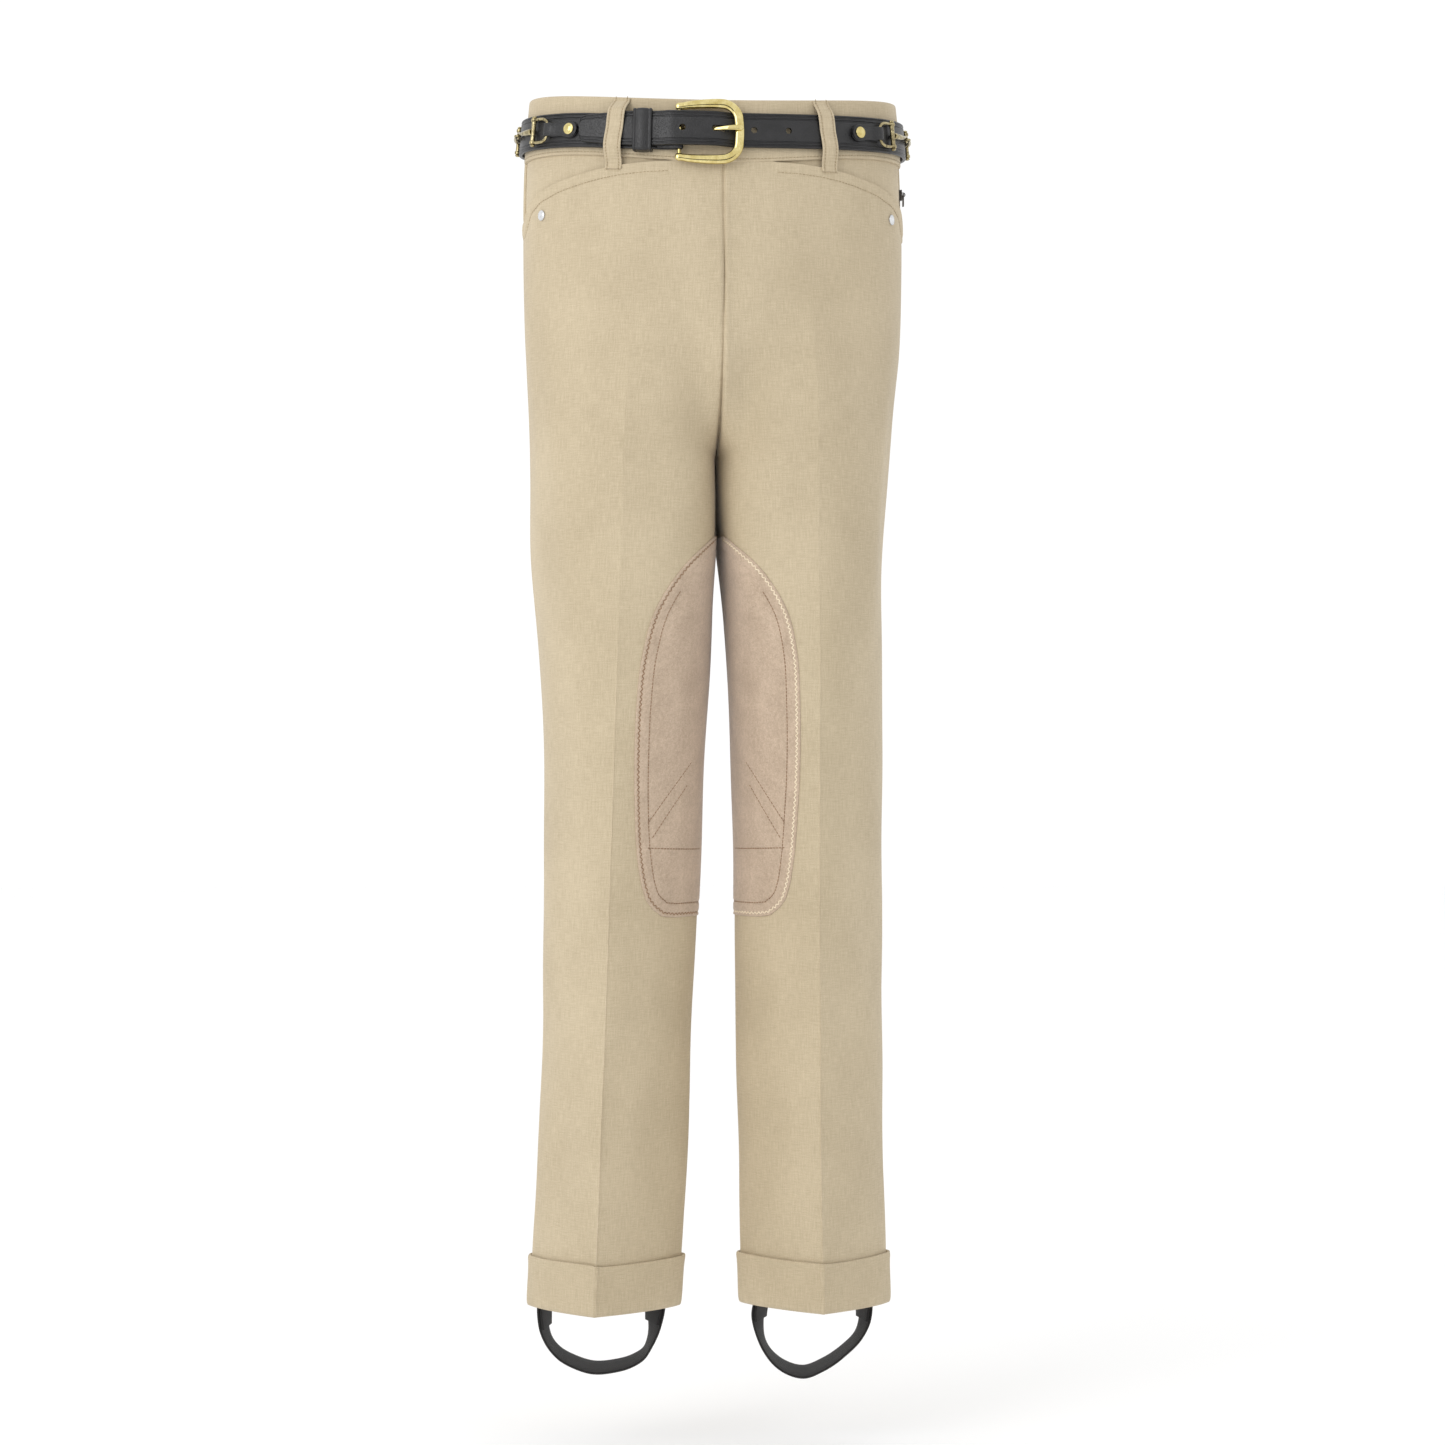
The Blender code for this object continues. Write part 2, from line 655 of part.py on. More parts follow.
def on_belt(place):
    """World point of (a, v, h): along the waist, up from the belt's middle, out from the band."""
    place = np.asarray(place, float)
    a = (place[..., 0] + GIRTH / 2) % GIRTH - GIRTH / 2
    theta = np.interp(a, TURN_A, TURN)
    z = line_height(BELT_MIDDLE, theta) + place[..., 1]
    stand = (BAND_STAND + place[..., 2])[..., None]
    return waist_point(theta, z) + stand * waist_normal(theta, z)


def add_waistband():
    """One shaped strip all round, open at the wearer's left where the zip ends."""
    start, end = math.pi / 2 - BAND_OPENING, -1.5 * math.pi + BAND_OPENING
    theta = np.linspace(start, end, BAND_STATIONS)
    top = line_height(BAND_TOP, theta)
    foot = line_height(BAND_SEAM, theta, BAND_SEAM_POWER)
    heights = np.array([top, (top + foot) / 2, foot])
    angles = np.broadcast_to(theta, heights.shape)
    surface = waist_point(angles, heights)
    normals = waist_normal(angles, heights)
    outer = surface + BAND_STAND * normals
    inner = outer - BAND_CLOTH * normals
    wall("waistband", outer, inner, twill())


def strip_rings(path, thickness, half_width):
    """Four corners at each point of a flat strip whose edge view is a path in a plane. Each corner
    is (along, out, across)."""
    path = np.asarray(path, float)
    thickness = np.broadcast_to(np.asarray(thickness, float), len(path))
    half_width = np.broadcast_to(np.asarray(half_width, float), len(path))
    steps = np.diff(path, axis=0)
    steps /= np.linalg.norm(steps, axis=1, keepdims=True)
    before = np.concatenate([steps[:1], steps])
    after = np.concatenate([steps, steps[-1:]])
    tangent = before + after
    tangent /= np.linalg.norm(tangent, axis=1, keepdims=True)
    mitre = np.clip(np.sum(tangent * after, axis=1), 0.5, 1)
    sideways = np.stack([-tangent[:, 1], tangent[:, 0]], axis=1) / mitre[:, None]
    rings = []
    for centre, off, thick, wide in zip(path, sideways, thickness, half_width):
        low = centre - off * thick / 2
        high = centre + off * thick / 2
        rings.append([(*low, -wide), (*low, wide), (*high, wide), (*high, -wide)])
    return np.array(rings)


def along_belt(rings, mirror=1, start=0.0, fall=0.0):
    """Turns strip corners (along, out, across) into world points on the belt."""
    across = rings[..., 2] - np.reshape(fall, (-1, 1))
    return on_belt(np.stack([start + mirror * rings[..., 0], across, rings[..., 1]], axis=-1))


def arc(centre, radius, first, last, count):
    turn = np.radians(np.linspace(first, last, count))
    return [(centre[0] + radius * math.cos(t), centre[1] + radius * math.sin(t)) for t in turn]


def add_belt_strap():
    """The strap: folded round the buckle's heel bar, once round the waist, then over the bar."""
    low = BELT_STAND
    thin_middle = low + THIN_LEATHER / 2
    fold = HEEL_BAR_RADIUS + SEAM_GAP + THIN_LEATHER / 2
    path = [(-46.8, thin_middle + THIN_LEATHER + SEAM_GAP), (-41.0, 4.4), (-35.6, 6.35)]
    path += arc(HEEL_BAR, fold, 90, -90, 7)
    path += [(-36.0, thin_middle), (-47.3, thin_middle)]
    thickness = [THIN_LEATHER] * len(path)
    middle = low + STRAP_LEATHER / 2
    round_end = 50.0
    count = int((GIRTH - 2 * round_end) / STRAP_STEP)
    for a in np.linspace(-48.4, 22.0 - GIRTH, count):
        path.append((a, middle))
        thickness.append(STRAP_LEATHER)
    over = HEEL_BAR[1] + fold + THIN_LEATHER / 2 + SEAM_GAP
    rise = (
        (13.0, low), (7.0, low + 0.1), (3.0, 2.9), (-1.0, 4.6), (-3.5, 5.5), (-9.0, 6.6), (-16.0, 7.1),
        (-24.0, 7.5), (-31.5, over), (-37.0, over - 0.1), (-43.0, 6.0), (-49.0, 4.85), (-66.0, 4.75),
        (-75.0, 4.75), (-86.0, 4.75), (-95.0, 4.75), (-100.8, 4.75), (-103.0, 4.75),
        (STRAP_TIP_A, 4.75),
    )
    for a, height in rise:
        path.append((a - GIRTH, height + STRAP_LEATHER / 2))
        thickness.append(STRAP_LEATHER)
    half = np.full(len(path), BELT_HALF)
    half[-len(STRAP_TIP_HALF):] = STRAP_TIP_HALF
    half[:2] = (BELT_HALF - 1, BELT_HALF - 0.3)
    along = np.array(path)[:, 0]
    fall = BUCKLE_DROP * smooth_step((along - DROP_START_A) / (DROP_FULL_A - DROP_START_A))
    rings = strip_rings(path, thickness, half)
    strap = loft("belt_strap", along_belt(rings, fall=fall), belt_leather())
    cut_with(strap, "tongue_slot", box_on_belt((-36.2, -26.0), (-4.4, 2.4), (0.8, 7.4)))
    for k in range(-1, 3):
        a = USED_HOLE_A + k * HOLE_PITCH
        reach, square = (5.0, 0.5) if k == 0 else (HOLE_RADIUS, 1.0)
        foot, top = ((7.55, 12.0), (3.0, 10.5), (1.0, 7.0), (1.0, 7.0))[k + 1]
        hole = []
        for h in (foot, top):
            ring = []
            for t in np.linspace(0, 2 * math.pi, 12, endpoint=False):
                along = math.copysign(abs(math.cos(t)) ** square, math.cos(t))
                across = math.copysign(abs(math.sin(t)) ** square, math.sin(t))
                ring.append((a + reach * along, HOLE_RADIUS * across, h))
            hole.append(ring)
        cut_with(strap, f"hole_cutter_{k + 1}", on_belt(hole))


def box_on_belt(a_span, v_span, h_span):
    rings = []
    for a in np.linspace(*a_span, 4):
        rings.append([
            (a, v_span[0], h_span[0]), (a, v_span[1], h_span[0]),
            (a, v_span[1], h_span[1]), (a, v_span[0], h_span[1]),
        ])
    return on_belt(rings)


def cut_with(body, name, rings, operation="DIFFERENCE"):
    """Cuts a shape out of a body, or joins it on, and keeps the cutter out of the render."""
    cutter = loft(name, rings, body.data.materials[0])
    cutter.hide_render = True
    cutter.display_type = "WIRE"
    change = body.modifiers.new(name, "BOOLEAN")
    change.object = cutter
    change.operation = operation
    change.solver = "EXACT"
    return cutter


def add_keeper():
    """Leather ring that holds the strap's tip down beside the buckle."""
    grids = []
    for outline in (KEEPER_OUTER, KEEPER_INNER):
        rows = [[(a, v, h) for v, h in outline] for a in np.linspace(*KEEPER_SPAN, 3)]
        grids.append(on_belt(rows))
    wall("belt_keeper", grids[0], grids[1], belt_leather(), loop=True)


def tube_rings(points, radii, sides=8, flat=1.0, face=None, loop=False):
    """Rings of a bar that follows a path of world points; flat squashes it along face."""
    points = np.asarray(points, float)
    if loop:
        tangents = np.roll(points, -1, axis=0) - np.roll(points, 1, axis=0)
    else:
        tangents = np.gradient(points, axis=0)
    tangents /= np.linalg.norm(tangents, axis=1, keepdims=True)
    face = np.broadcast_to(np.asarray(face, float), points.shape)
    turn = np.linspace(0, 2 * math.pi, sides, endpoint=False) + math.pi / sides
    rings = []
    for point, tangent, radius, out in zip(points, tangents, np.broadcast_to(radii, len(points)), face):
        out = out - tangent * np.dot(out, tangent)
        out /= np.linalg.norm(out)
        aside = np.cross(tangent, out)
        rings.append([point + radius * (math.cos(t) * aside + flat * math.sin(t) * out) for t in turn])
    return np.array(rings)


def belt_face(places):
    """Outward direction of the waist at each place on the belt."""
    places = np.asarray(places, float)
    return on_belt(places + (0, 0, 1)) - on_belt(places)


def belt_tube(name, places, radii, material, sides=8, flat=1.0):
    places = np.asarray(places, float)
    rings = tube_rings(on_belt(places), radii, sides, flat, belt_face(places))
    return loft(name, rings, material)


def add_buckle():
    """Bow-shaped frame with a heel bar across its open end, and a tongue that hangs on the bar."""
    corner = (BOW_SIDE_A - BOW_CORNER, ARM_V - BOW_CORNER)
    arm = [
        (-33.0, HEEL_V, 1.6), (-31.8, HEEL_V + 0.1, 2.6), (-26.0, HEEL_V + 0.9, 2.8),
        (-19.0, ARM_V - 0.4, 3.1), (-10.0, ARM_V - 0.05, 3.4),
    ]
    arm += [(a, v, 3.5) for a, v in arc(corner, BOW_CORNER, 90, 0, CORNER_STATIONS)]
    route = arm + [(BOW_SIDE_A + 0.4, 0.0, 3.5)] + [(a, -v, r) for a, v, r in arm[::-1]]
    places = [(a, v - BUCKLE_DROP, 4.6 + 2.5 * (a + 33.0) / 44.0) for a, v, _ in route]
    radii = [r for _, _, r in route]
    frame = belt_tube("buckle_frame", places, radii, brass(), sides=8, flat=0.66)
    bar = [(HEEL_BAR[0], v - BUCKLE_DROP, HEEL_BAR[1]) for v in (-17.6, 0.0, 17.6)]
    rings = tube_rings(on_belt(bar), HEEL_BAR_RADIUS, 8, 1.0, belt_face(bar))
    cut_with(frame, "heel_bar_joiner", rings, "UNION")
    eye = arc(HEEL_BAR, 2.15, 40, 262, 11)
    prong = [(-29.0, 2.5), (-24.0, 3.5), (-17.0, 4.5), (-9.5, 5.1), (-7.0, 5.7), (-3.5, 7.2),
             (0.5, 9.2), (4.0, 10.4), (8.0, 10.9), (10.8, 10.9), (12.8, 10.6)]
    thickness = [1.1] * len(eye) + [1.3, 1.7] + [1.8] * 7 + [1.6, 1.0]
    width = [1.7] * len(eye) + [1.5] * 2 + [1.4] * 4 + [1.7] * 3 + [1.8, 1.2]
    loft("buckle_tongue", along_belt(strip_rings(eye + prong, thickness, width)), brass())


def add_belt_loops():
    """Cloth loops over the belt, sewn at the band's top edge and just under the waist seam."""
    loops = (
        ("front_left", FRONT_LOOP_A, 1), ("front_right", -FRONT_LOOP_A, 2),
        ("back_left", BACK_LOOP_A, 1), ("back_right", -BACK_LOOP_A, 1),
        ("back_middle", GIRTH / 2, 1),
    )
    for name, a, layers in loops:
        clear = BELT_STAND + layers * STRAP_LEATHER + (layers - 1) * SEAM_GAP + SEAM_GAP
        sewn = SEAM_GAP + LOOP_CLOTH / 2
        over = clear + LOOP_CLOTH / 2 + 0.1
        path = [
            (-28.5, sewn), (-25.0, sewn), (-19.5, sewn + 0.45 * (over - sewn)), (-13.8, over),
            (0.0, over), (13.8, over), (18.2, sewn + 0.42 * (over - sewn)), (21.4, sewn),
            (23.6, sewn),
        ]
        rings = strip_rings(path, LOOP_CLOTH, LOOP_WIDTH / 2)
        slant = 0.0 if name == "back_middle" else LOOP_SLANT * math.copysign(1, a)
        place = np.stack(
            [a + rings[..., 2] - slant * rings[..., 0], rings[..., 0], rings[..., 1]], axis=-1
        )
        loft(f"belt_loop_{name}", on_belt(place), twill())


def turned(name, profile, centre, axis, material, sides=10):
    """A round piece: (distance along the axis, radius) pairs turned about it."""
    axis = np.asarray(axis, float) / np.linalg.norm(axis)
    aside = np.cross(axis, (0.0, 0.0, 1.0) if abs(axis[2]) < 0.9 else (1.0, 0.0, 0.0))
    aside /= np.linalg.norm(aside)
    third = np.cross(axis, aside)
    turn = np.linspace(0, 2 * math.pi, sides, endpoint=False)
    rings = []
    for along, radius in profile:
        middle = np.asarray(centre) + along * axis
        rings.append([middle + radius * (math.cos(t) * aside + math.sin(t) * third) for t in turn])
    return loft(name, rings, material)


def add_bit(side_name, middle):
    """A snaffle bit in small, held on the belt by a riveted leather tab at each end."""
    for end_name, way in (("front", -1), ("rear", 1)):
        turn = way if middle > 0 else -way
        label = f"{side_name}_{end_name}"
        fold = DEE_WIRE_RADIUS + SEAM_GAP + TAB_LEATHER / 2
        lower = BIT_H - fold
        upper = lower + TAB_LEATHER + SEAM_GAP
        end = TAB_RIVET_P + TAB_END_RADIUS
        round_p = [end, end - 1.2, end - 3.5, TAB_RIVET_P, TAB_RIVET_P - 5.0, TAB_RIVET_P - 8.0]
        round_w = [2.0, 4.2, 5.9, TAB_END_RADIUS, 5.2, TAB_HALF]
        lower_path = [(p, lower) for p in round_p] + [(43.0, lower)]
        bend = arc((DEE_BACK_P, BIT_H), fold, 270, 90, 7)
        upper_path = [(42.5, BIT_H + fold - 0.5), (47.5, upper + 0.1)] + [(p, upper) for p in round_p[::-1]]
        width = round_w + [TAB_HALF] * (len(bend) + 3) + round_w[::-1]
        rings = strip_rings(lower_path + bend + upper_path, TAB_LEATHER, width)
        loft(f"bit_tab_{label}", along_belt(rings, turn, middle), belt_leather())
        top = upper + TAB_LEATHER / 2 + SEAM_GAP
        seat = on_belt((middle + turn * TAB_RIVET_P, 0, top))
        out = belt_face((middle + turn * TAB_RIVET_P, 0, top))
        turned(f"tab_rivet_{label}", RIVET_PROFILE, seat, out, brass())
        dee = [(27.6, 8.4), (31.0, 8.5), (34.5, 8.3), (37.4, 6.9), (38.7, 5.4), (39.0, 3.5)]
        dee += [(p, -v) for p, v in dee[::-1]]
        places = [(middle + turn * p, v, BIT_H) for p, v in dee]
        belt_tube(f"bit_dee_{label}", places, DEE_WIRE_RADIUS, brass(), sides=7)
        cheek = HALF_CHEEK + ((0.0, 1.8),) + tuple((-v, r) for v, r in HALF_CHEEK[::-1])
        foot = on_belt((middle + turn * CHEEK_P, -5.0, BIT_H))
        head = on_belt((middle + turn * CHEEK_P, 5.0, BIT_H))
        turned(f"bit_cheek_{label}", cheek, (foot + head) / 2, head - foot, brass(), sides=9)
        bar = [(22.7, 0.0, 2.1), (21.5, 0.0, 2.3), (16.0, 0.05, 2.1), (10.0, 0.2, 1.5),
               (6.0, 0.75, 1.05), (3.4, 1.55, 0.85)]
        eye_middle = EYE_RADIUS / 2
        for degrees in range(90, 331, 30):
            t = math.radians(degrees)
            bar.append((eye_middle + EYE_RADIUS * math.cos(t), EYE_RADIUS * math.sin(t), EYE_WIRE_RADIUS))
        if end_name == "front":
            places = [(middle + turn * p, off, BIT_H) for p, off, _ in bar]
        else:
            places = [(middle + turn * p, 0.0, BIT_H + off) for p, off, _ in bar]
        radii = [r for _, _, r in bar]
        points = on_belt(places)
        across = on_belt(np.asarray(places) + (0, 1, 0)) - points
        face = belt_face(places) if end_name == "front" else across
        loft(f"bit_mouth_{label}", tube_rings(points, radii, 7, 1.0, face), brass())


def add_pocket_studs():
    """A plain domed stud at the outer corner of each front pocket."""
    height = np.array(STUD_Z)
    theta = np.arcsin(STUD_X / section(height)["side_x"])
    out = waist_normal(theta, height)
    seat = waist_point(theta, height) + SEAM_GAP * out
    for side_name, side in SIDES:
        mirror = (side, 1, 1)
        turned(f"pocket_stud_{side_name}", STUD_PROFILE, seat * mirror, out * mirror, silver())


def side_point(y, out, z):
    """World point by the side seam of the wearer's left: along, out from the cloth, and up."""
    return (float(section(z)["side_x"]) + out, y, z)


def add_zip():
    """Hidden zip in the left side seam: two tapes with their coils, and the slider near the top."""
    heights = np.linspace(ZIP_TOP_Z, ZIP_FOOT_Z, 7)
    for name, way, outline in TAPES:
        rings = [[side_point(way * y, out, z) for y, out in outline] for z in heights]
        loft(f"zip_tape_{name}", rings, twill())
    ends = (PULL_PIVOT_Z + 3.6, PULL_PIVOT_Z, PULL_PIVOT_Z - 4.4)
    rings = [[side_point(y, out, z) for y, out in SLIDER_OUTLINE] for z in ends]
    slider = loft("zip_slider", rings, dark_metal())
    pivot = side_point(0.0, SLIDER_CROWN + PIVOT_STAND, PULL_PIVOT_Z)
    bail = []
    for degrees in range(-50, 231, 35):
        t = math.radians(degrees)
        bail.append((pivot[0] + BAIL_RADIUS * math.sin(t), 0.0, pivot[2] + BAIL_RADIUS * math.cos(t)))
    rings = tube_rings(bail, BAIL_WIRE_RADIUS, 6, 1.0, (0.0, 1.0, 0.0))
    cut_with(slider, "bail_joiner", rings, "UNION")
    return pivot


def add_pull_tab(pivot):
    """The zip's pull: a flat tab with a slot, whose top bar turns inside the slider's bail."""
    half_wide, slot_half, thick = 2.3, 0.85, 0.45
    bar_top, bar_foot, slot_foot, tip = 0.5, -0.5, -3.6, -9.0
    hinge = bpy.data.objects.new("pull_hinge", None)
    hinge.location = np.asarray(pivot) * METRES
    bpy.context.scene.collection.objects.link(hinge)
    outline = [(-half_wide, bar_top), (half_wide, bar_top), (half_wide, tip + 1.2), (1.2, tip),
               (-1.2, tip), (-half_wide, tip + 1.2)]
    slot = [(-slot_half, bar_foot), (slot_half, bar_foot), (slot_half, slot_foot), (0.5, slot_foot),
            (-0.5, slot_foot), (-slot_half, slot_foot)]
    grids = []
    for x in (thick, -thick):
        grids.append([[(x, y, z) for y, z in outline], [(x, y, z) for y, z in slot]])
    made = wall("zip_pull", np.array(grids[0], float), np.array(grids[1], float), dark_metal(), loop=True)
    made.parent = hinge


def add_stirrup_straps():
    """Elastic under each foot, sewn to a doubled tab inside the hem at both ends."""
    middle_x = float(section(CUFF_FOOT_Z)["crease_x"])
    for side_name, side in SIDES:
        route = np.array(STRAP_ROUTES[side_name], float)
        ends = (route[0, 0], route[-1, 0])
        turns = np.radians(np.interp(route[:, 0], ends, ELASTIC_TURN[side_name]))
        depths = np.interp(route[:, 0], ends, ELASTIC_MIDDLE_Y[side_name])
        steps = np.gradient(route, axis=0)
        steps /= np.linalg.norm(steps, axis=1, keepdims=True)
        lows = smooth_step((TILT_START_Z - route[:, 1]) / TILT_REACH)
        strap = []
        tabs = {"inner": [], "outer": []}
        for (x, z), turn, depth, step, low in zip(route, turns, depths, steps, lows):
            middle = np.array([middle_x + x, depth, z])
            edge = np.array([-math.sin(turn) * (1 - low), math.cos(turn), 0.0]) * ELASTIC_WIDTH / 2
            edge = edge + (0, 0, ELASTIC_TILT * low)
            off = np.array([-step[1], 0.0, step[0]]) * ELASTIC / 2
            ring = [middle - edge - off, middle + edge - off, middle + edge + off, middle - edge + off]
            strap.append(np.array(ring) * (side, 1, 1))
            if z > TAB_FOOT_Z:
                moved = np.array(ring) + off * 2 * (1 + TAB_GAP / ELASTIC)
                tabs["inner" if x < 0 else "outer"].append(moved * (side, 1, 1))
        loft(f"stirrup_strap_{side_name}", turned_leg(np.array(strap)), elastic_web())
        for which, rings in tabs.items():
            loft(f"stirrup_tab_{side_name}_{which}", turned_leg(np.array(rings)), elastic_web())


def build():
    clear_scene()
    add_waistband()
    add_panels()
    add_hip_yokes()
    add_knee_patches()
    add_cuffs()
    add_belt_loops()
    add_belt_strap()
    add_keeper()
    add_buckle()
    for side_name, middle in BIT_MIDDLE:
        add_bit(side_name, middle)
    add_pocket_studs()
    add_pull_tab(add_zip())
    add_stirrup_straps()


build()
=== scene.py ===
"""Looks of a child's riding jodhpurs: twill panels, suede patches, belt with bits, foot straps.

Tables and sizes are in millimetres and become metres when a mesh is made. The wearer's left is +X,
the front faces -Y and +Z is up. The garment hangs from its waist, at the origin.
"""
import math

import bmesh
import bpy
import numpy as np
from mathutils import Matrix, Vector


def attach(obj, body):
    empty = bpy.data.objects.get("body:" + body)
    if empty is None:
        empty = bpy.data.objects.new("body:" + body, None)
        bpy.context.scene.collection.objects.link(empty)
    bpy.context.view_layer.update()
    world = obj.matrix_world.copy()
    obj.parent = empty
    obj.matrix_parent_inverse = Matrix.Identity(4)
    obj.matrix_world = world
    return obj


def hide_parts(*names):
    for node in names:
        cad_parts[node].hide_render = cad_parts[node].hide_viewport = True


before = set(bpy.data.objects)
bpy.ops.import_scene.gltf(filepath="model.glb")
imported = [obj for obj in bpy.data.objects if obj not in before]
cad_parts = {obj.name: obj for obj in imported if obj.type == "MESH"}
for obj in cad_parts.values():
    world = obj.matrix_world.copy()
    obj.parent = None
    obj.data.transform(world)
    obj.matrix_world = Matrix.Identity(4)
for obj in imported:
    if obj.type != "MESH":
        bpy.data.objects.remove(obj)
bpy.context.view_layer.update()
MM = 0.001

# Four leg panels, two in front and two behind, cut from tan stretch twill. Plain seams join them at
# the sides, the inseams and the centre, and a crease is pressed down the middle of each.
CLOTH = 1.2
CROTCH_Z = -245.0
HEM_Z = -873.6
FRONT_CURVE_Z = -160.0
BACK_CURVE_Z = -120.0
SPLIT_START_Z = -120.0
SPLIT_END_Z = -330.0
CURVE_REACH = 0.15
LEG_TURN = math.radians(-5.0)
LEG_TURN_FULL_Z = -600.0
BAND_TOP = (11.8, 23.0, 30.0)
BAND_SEAM = (-34.0, -23.0, -12.0)
BAND_SEAM_POWER = 4
PLAIN_POWER = 2
SECTION_COLUMNS = (
    "z", "side_x", "front_y", "back_y", "crease_x", "inner_x",
    "crease_power", "side_power", "inner_crease_power", "inner_power",
)
SECTIONS = (
    (60, 134.0, -82.0, 80.0, 61.0, 0.0, 1.00, 1.00, 1.00, 1.00),
    (23, 136.9, -84.0, 84.0, 61.5, 0.0, 1.00, 1.00, 1.00, 1.00),
    (-28, 141.0, -88.5, 92.0, 62.0, 0.0, 1.00, 1.00, 1.00, 1.00),
    (-78, 141.8, -93.0, 103.0, 63.5, 0.0, 1.00, 1.00, 1.00, 1.00),
    (-153, 140.3, -92.0, 110.0, 66.0, 0.0, 1.00, 1.00, 0.90, 0.85),
    (-209, 136.5, -88.5, 103.0, 70.0, 0.0, 1.02, 1.00, 0.74, 0.69),
    (-266, 133.9, -85.0, 92.0, 72.0, 0.4, 1.08, 1.02, 0.62, 0.55),
    (-311, 131.8, -82.0, 85.0, 72.0, 2.2, 1.15, 1.04, 0.68, 0.60),
    (-348, 129.8, -79.0, 80.0, 72.6, 4.4, 1.22, 1.06, 0.84, 0.70),
    (-423, 127.1, -72.0, 70.0, 74.0, 8.3, 1.38, 1.10, 1.12, 0.88),
    (-498, 126.4, -66.0, 63.0, 75.4, 11.3, 1.52, 1.16, 1.35, 1.00),
    (-573, 126.6, -63.0, 60.0, 76.9, 13.6, 1.62, 1.22, 1.52, 1.10),
    (-648, 127.2, -61.0, 58.5, 78.6, 16.2, 1.70, 1.28, 1.64, 1.20),
    (-723, 128.6, -59.5, 57.5, 80.3, 18.0, 1.77, 1.34, 1.74, 1.30),
    (-798, 130.5, -58.0, 57.0, 81.8, 19.9, 1.85, 1.40, 1.85, 1.40),
    (-875, 132.5, -57.0, 57.0, 82.3, 22.0, 1.85, 1.40, 1.85, 1.40),
)
SECTION_ROWS = np.array(SECTIONS, float)[::-1]
# How far each leg hangs off its mirrored place, towards the wearer's left: height, then the right
# leg's outer and inner side and the left leg's inner and outer side
LEG_SHIFT = (
    (-170, 0.0, 0.0, 0.0, 0.0), (-215, -1.0, 0.2, 0.2, -1.2), (-258, -2.5, 0.6, 0.6, -3.0),
    (-318, -4.0, 1.5, 2.8, -3.6), (-378, -2.9, 2.6, 4.8, -1.9), (-438, -1.0, 2.2, 4.4, -0.4),
    (-498, 0.3, 2.2, 4.2, 0.7), (-558, 0.4, 2.0, 3.5, 0.9), (-618, 0.3, 1.4, 2.1, 0.3),
    (-678, -0.3, 0.4, 1.0, -0.3), (-738, -1.8, -0.7, -0.2, -1.5), (-798, -2.5, -1.4, -0.4, -1.8),
    (-838, -3.8, -2.8, -0.4, -1.3), (-875, -4.8, -4.2, -0.4, -1.1),
)
SHIFT_ROWS = np.array(LEG_SHIFT, float)[::-1]


def smooth_through(at, knots, values):
    """A smooth curve through rising knots, held level past both ends."""
    knots = np.asarray(knots, float)
    values = np.asarray(values, float)
    slopes = np.gradient(values, knots)
    at = np.clip(at, knots[0], knots[-1])
    i = np.clip(np.searchsorted(knots, at, side="right") - 1, 0, len(knots) - 2)
    span = knots[i + 1] - knots[i]
    t = (at - knots[i]) / span
    start = (1 + 2 * t) * (1 - t) ** 2 * values[i] + t * (1 - t) ** 2 * span * slopes[i]
    return start + t * t * (3 - 2 * t) * values[i + 1] + t * t * (t - 1) * span * slopes[i + 1]


def section(z):
    return {
        column: smooth_through(z, SECTION_ROWS[:, 0], SECTION_ROWS[:, k])
        for k, column in enumerate(SECTION_COLUMNS)
        if k
    }


def smooth_step(t):
    t = np.clip(t, 0.0, 1.0)
    return t * t * (3 - 2 * t)


def half_section(half, u, z):
    """A point on the left half. half is -1 in front and +1 behind; u runs from the centre seam or
    inseam at 0, through the crease at 0.5, to the side seam at 1."""
    half, u, z = np.broadcast_arrays(np.asarray(half, float), u, z)
    size = section(z)
    depth = np.where(half < 0, size["front_y"], size["back_y"])
    inner = u < 0.5
    crease_angle = np.arcsin(size["crease_x"] / size["side_x"])
    past = crease_angle + (math.pi / 2 - crease_angle) * (u - 0.5) / 0.5
    angle = np.where(inner, crease_angle * u / 0.5, past)
    body_x = size["side_x"] * np.sin(angle)
    body_y = depth * np.cos(angle)
    turn = np.where(inner, u, 1 - u) * math.pi
    cosine = np.clip(np.cos(turn), 0, 1)
    sine = np.clip(np.sin(turn), 0, 1)
    reach = np.where(inner, size["inner_x"] - size["crease_x"], size["side_x"] - size["crease_x"])
    along = np.where(inner, size["inner_crease_power"], size["crease_power"])
    across = np.where(inner, size["inner_power"], size["side_power"])
    leg_x = size["crease_x"] + reach * cosine**along
    leg_y = depth * sine**across
    start = np.where(half < 0, FRONT_CURVE_Z, BACK_CURVE_Z)
    fall = np.clip((start - z) / (start - CROTCH_Z), 0, 1)
    at_seam = 1 - np.sqrt(1 - fall * fall)
    elsewhere = smooth_step((SPLIT_START_Z - z) / (SPLIT_START_Z - SPLIT_END_Z))
    split = elsewhere + (at_seam - elsewhere) * np.exp(-((u / CURVE_REACH) ** 2))
    return np.stack(
        [body_x + (leg_x - body_x) * split, body_y + (leg_y - body_y) * split, z + 0 * u], axis=-1
    )


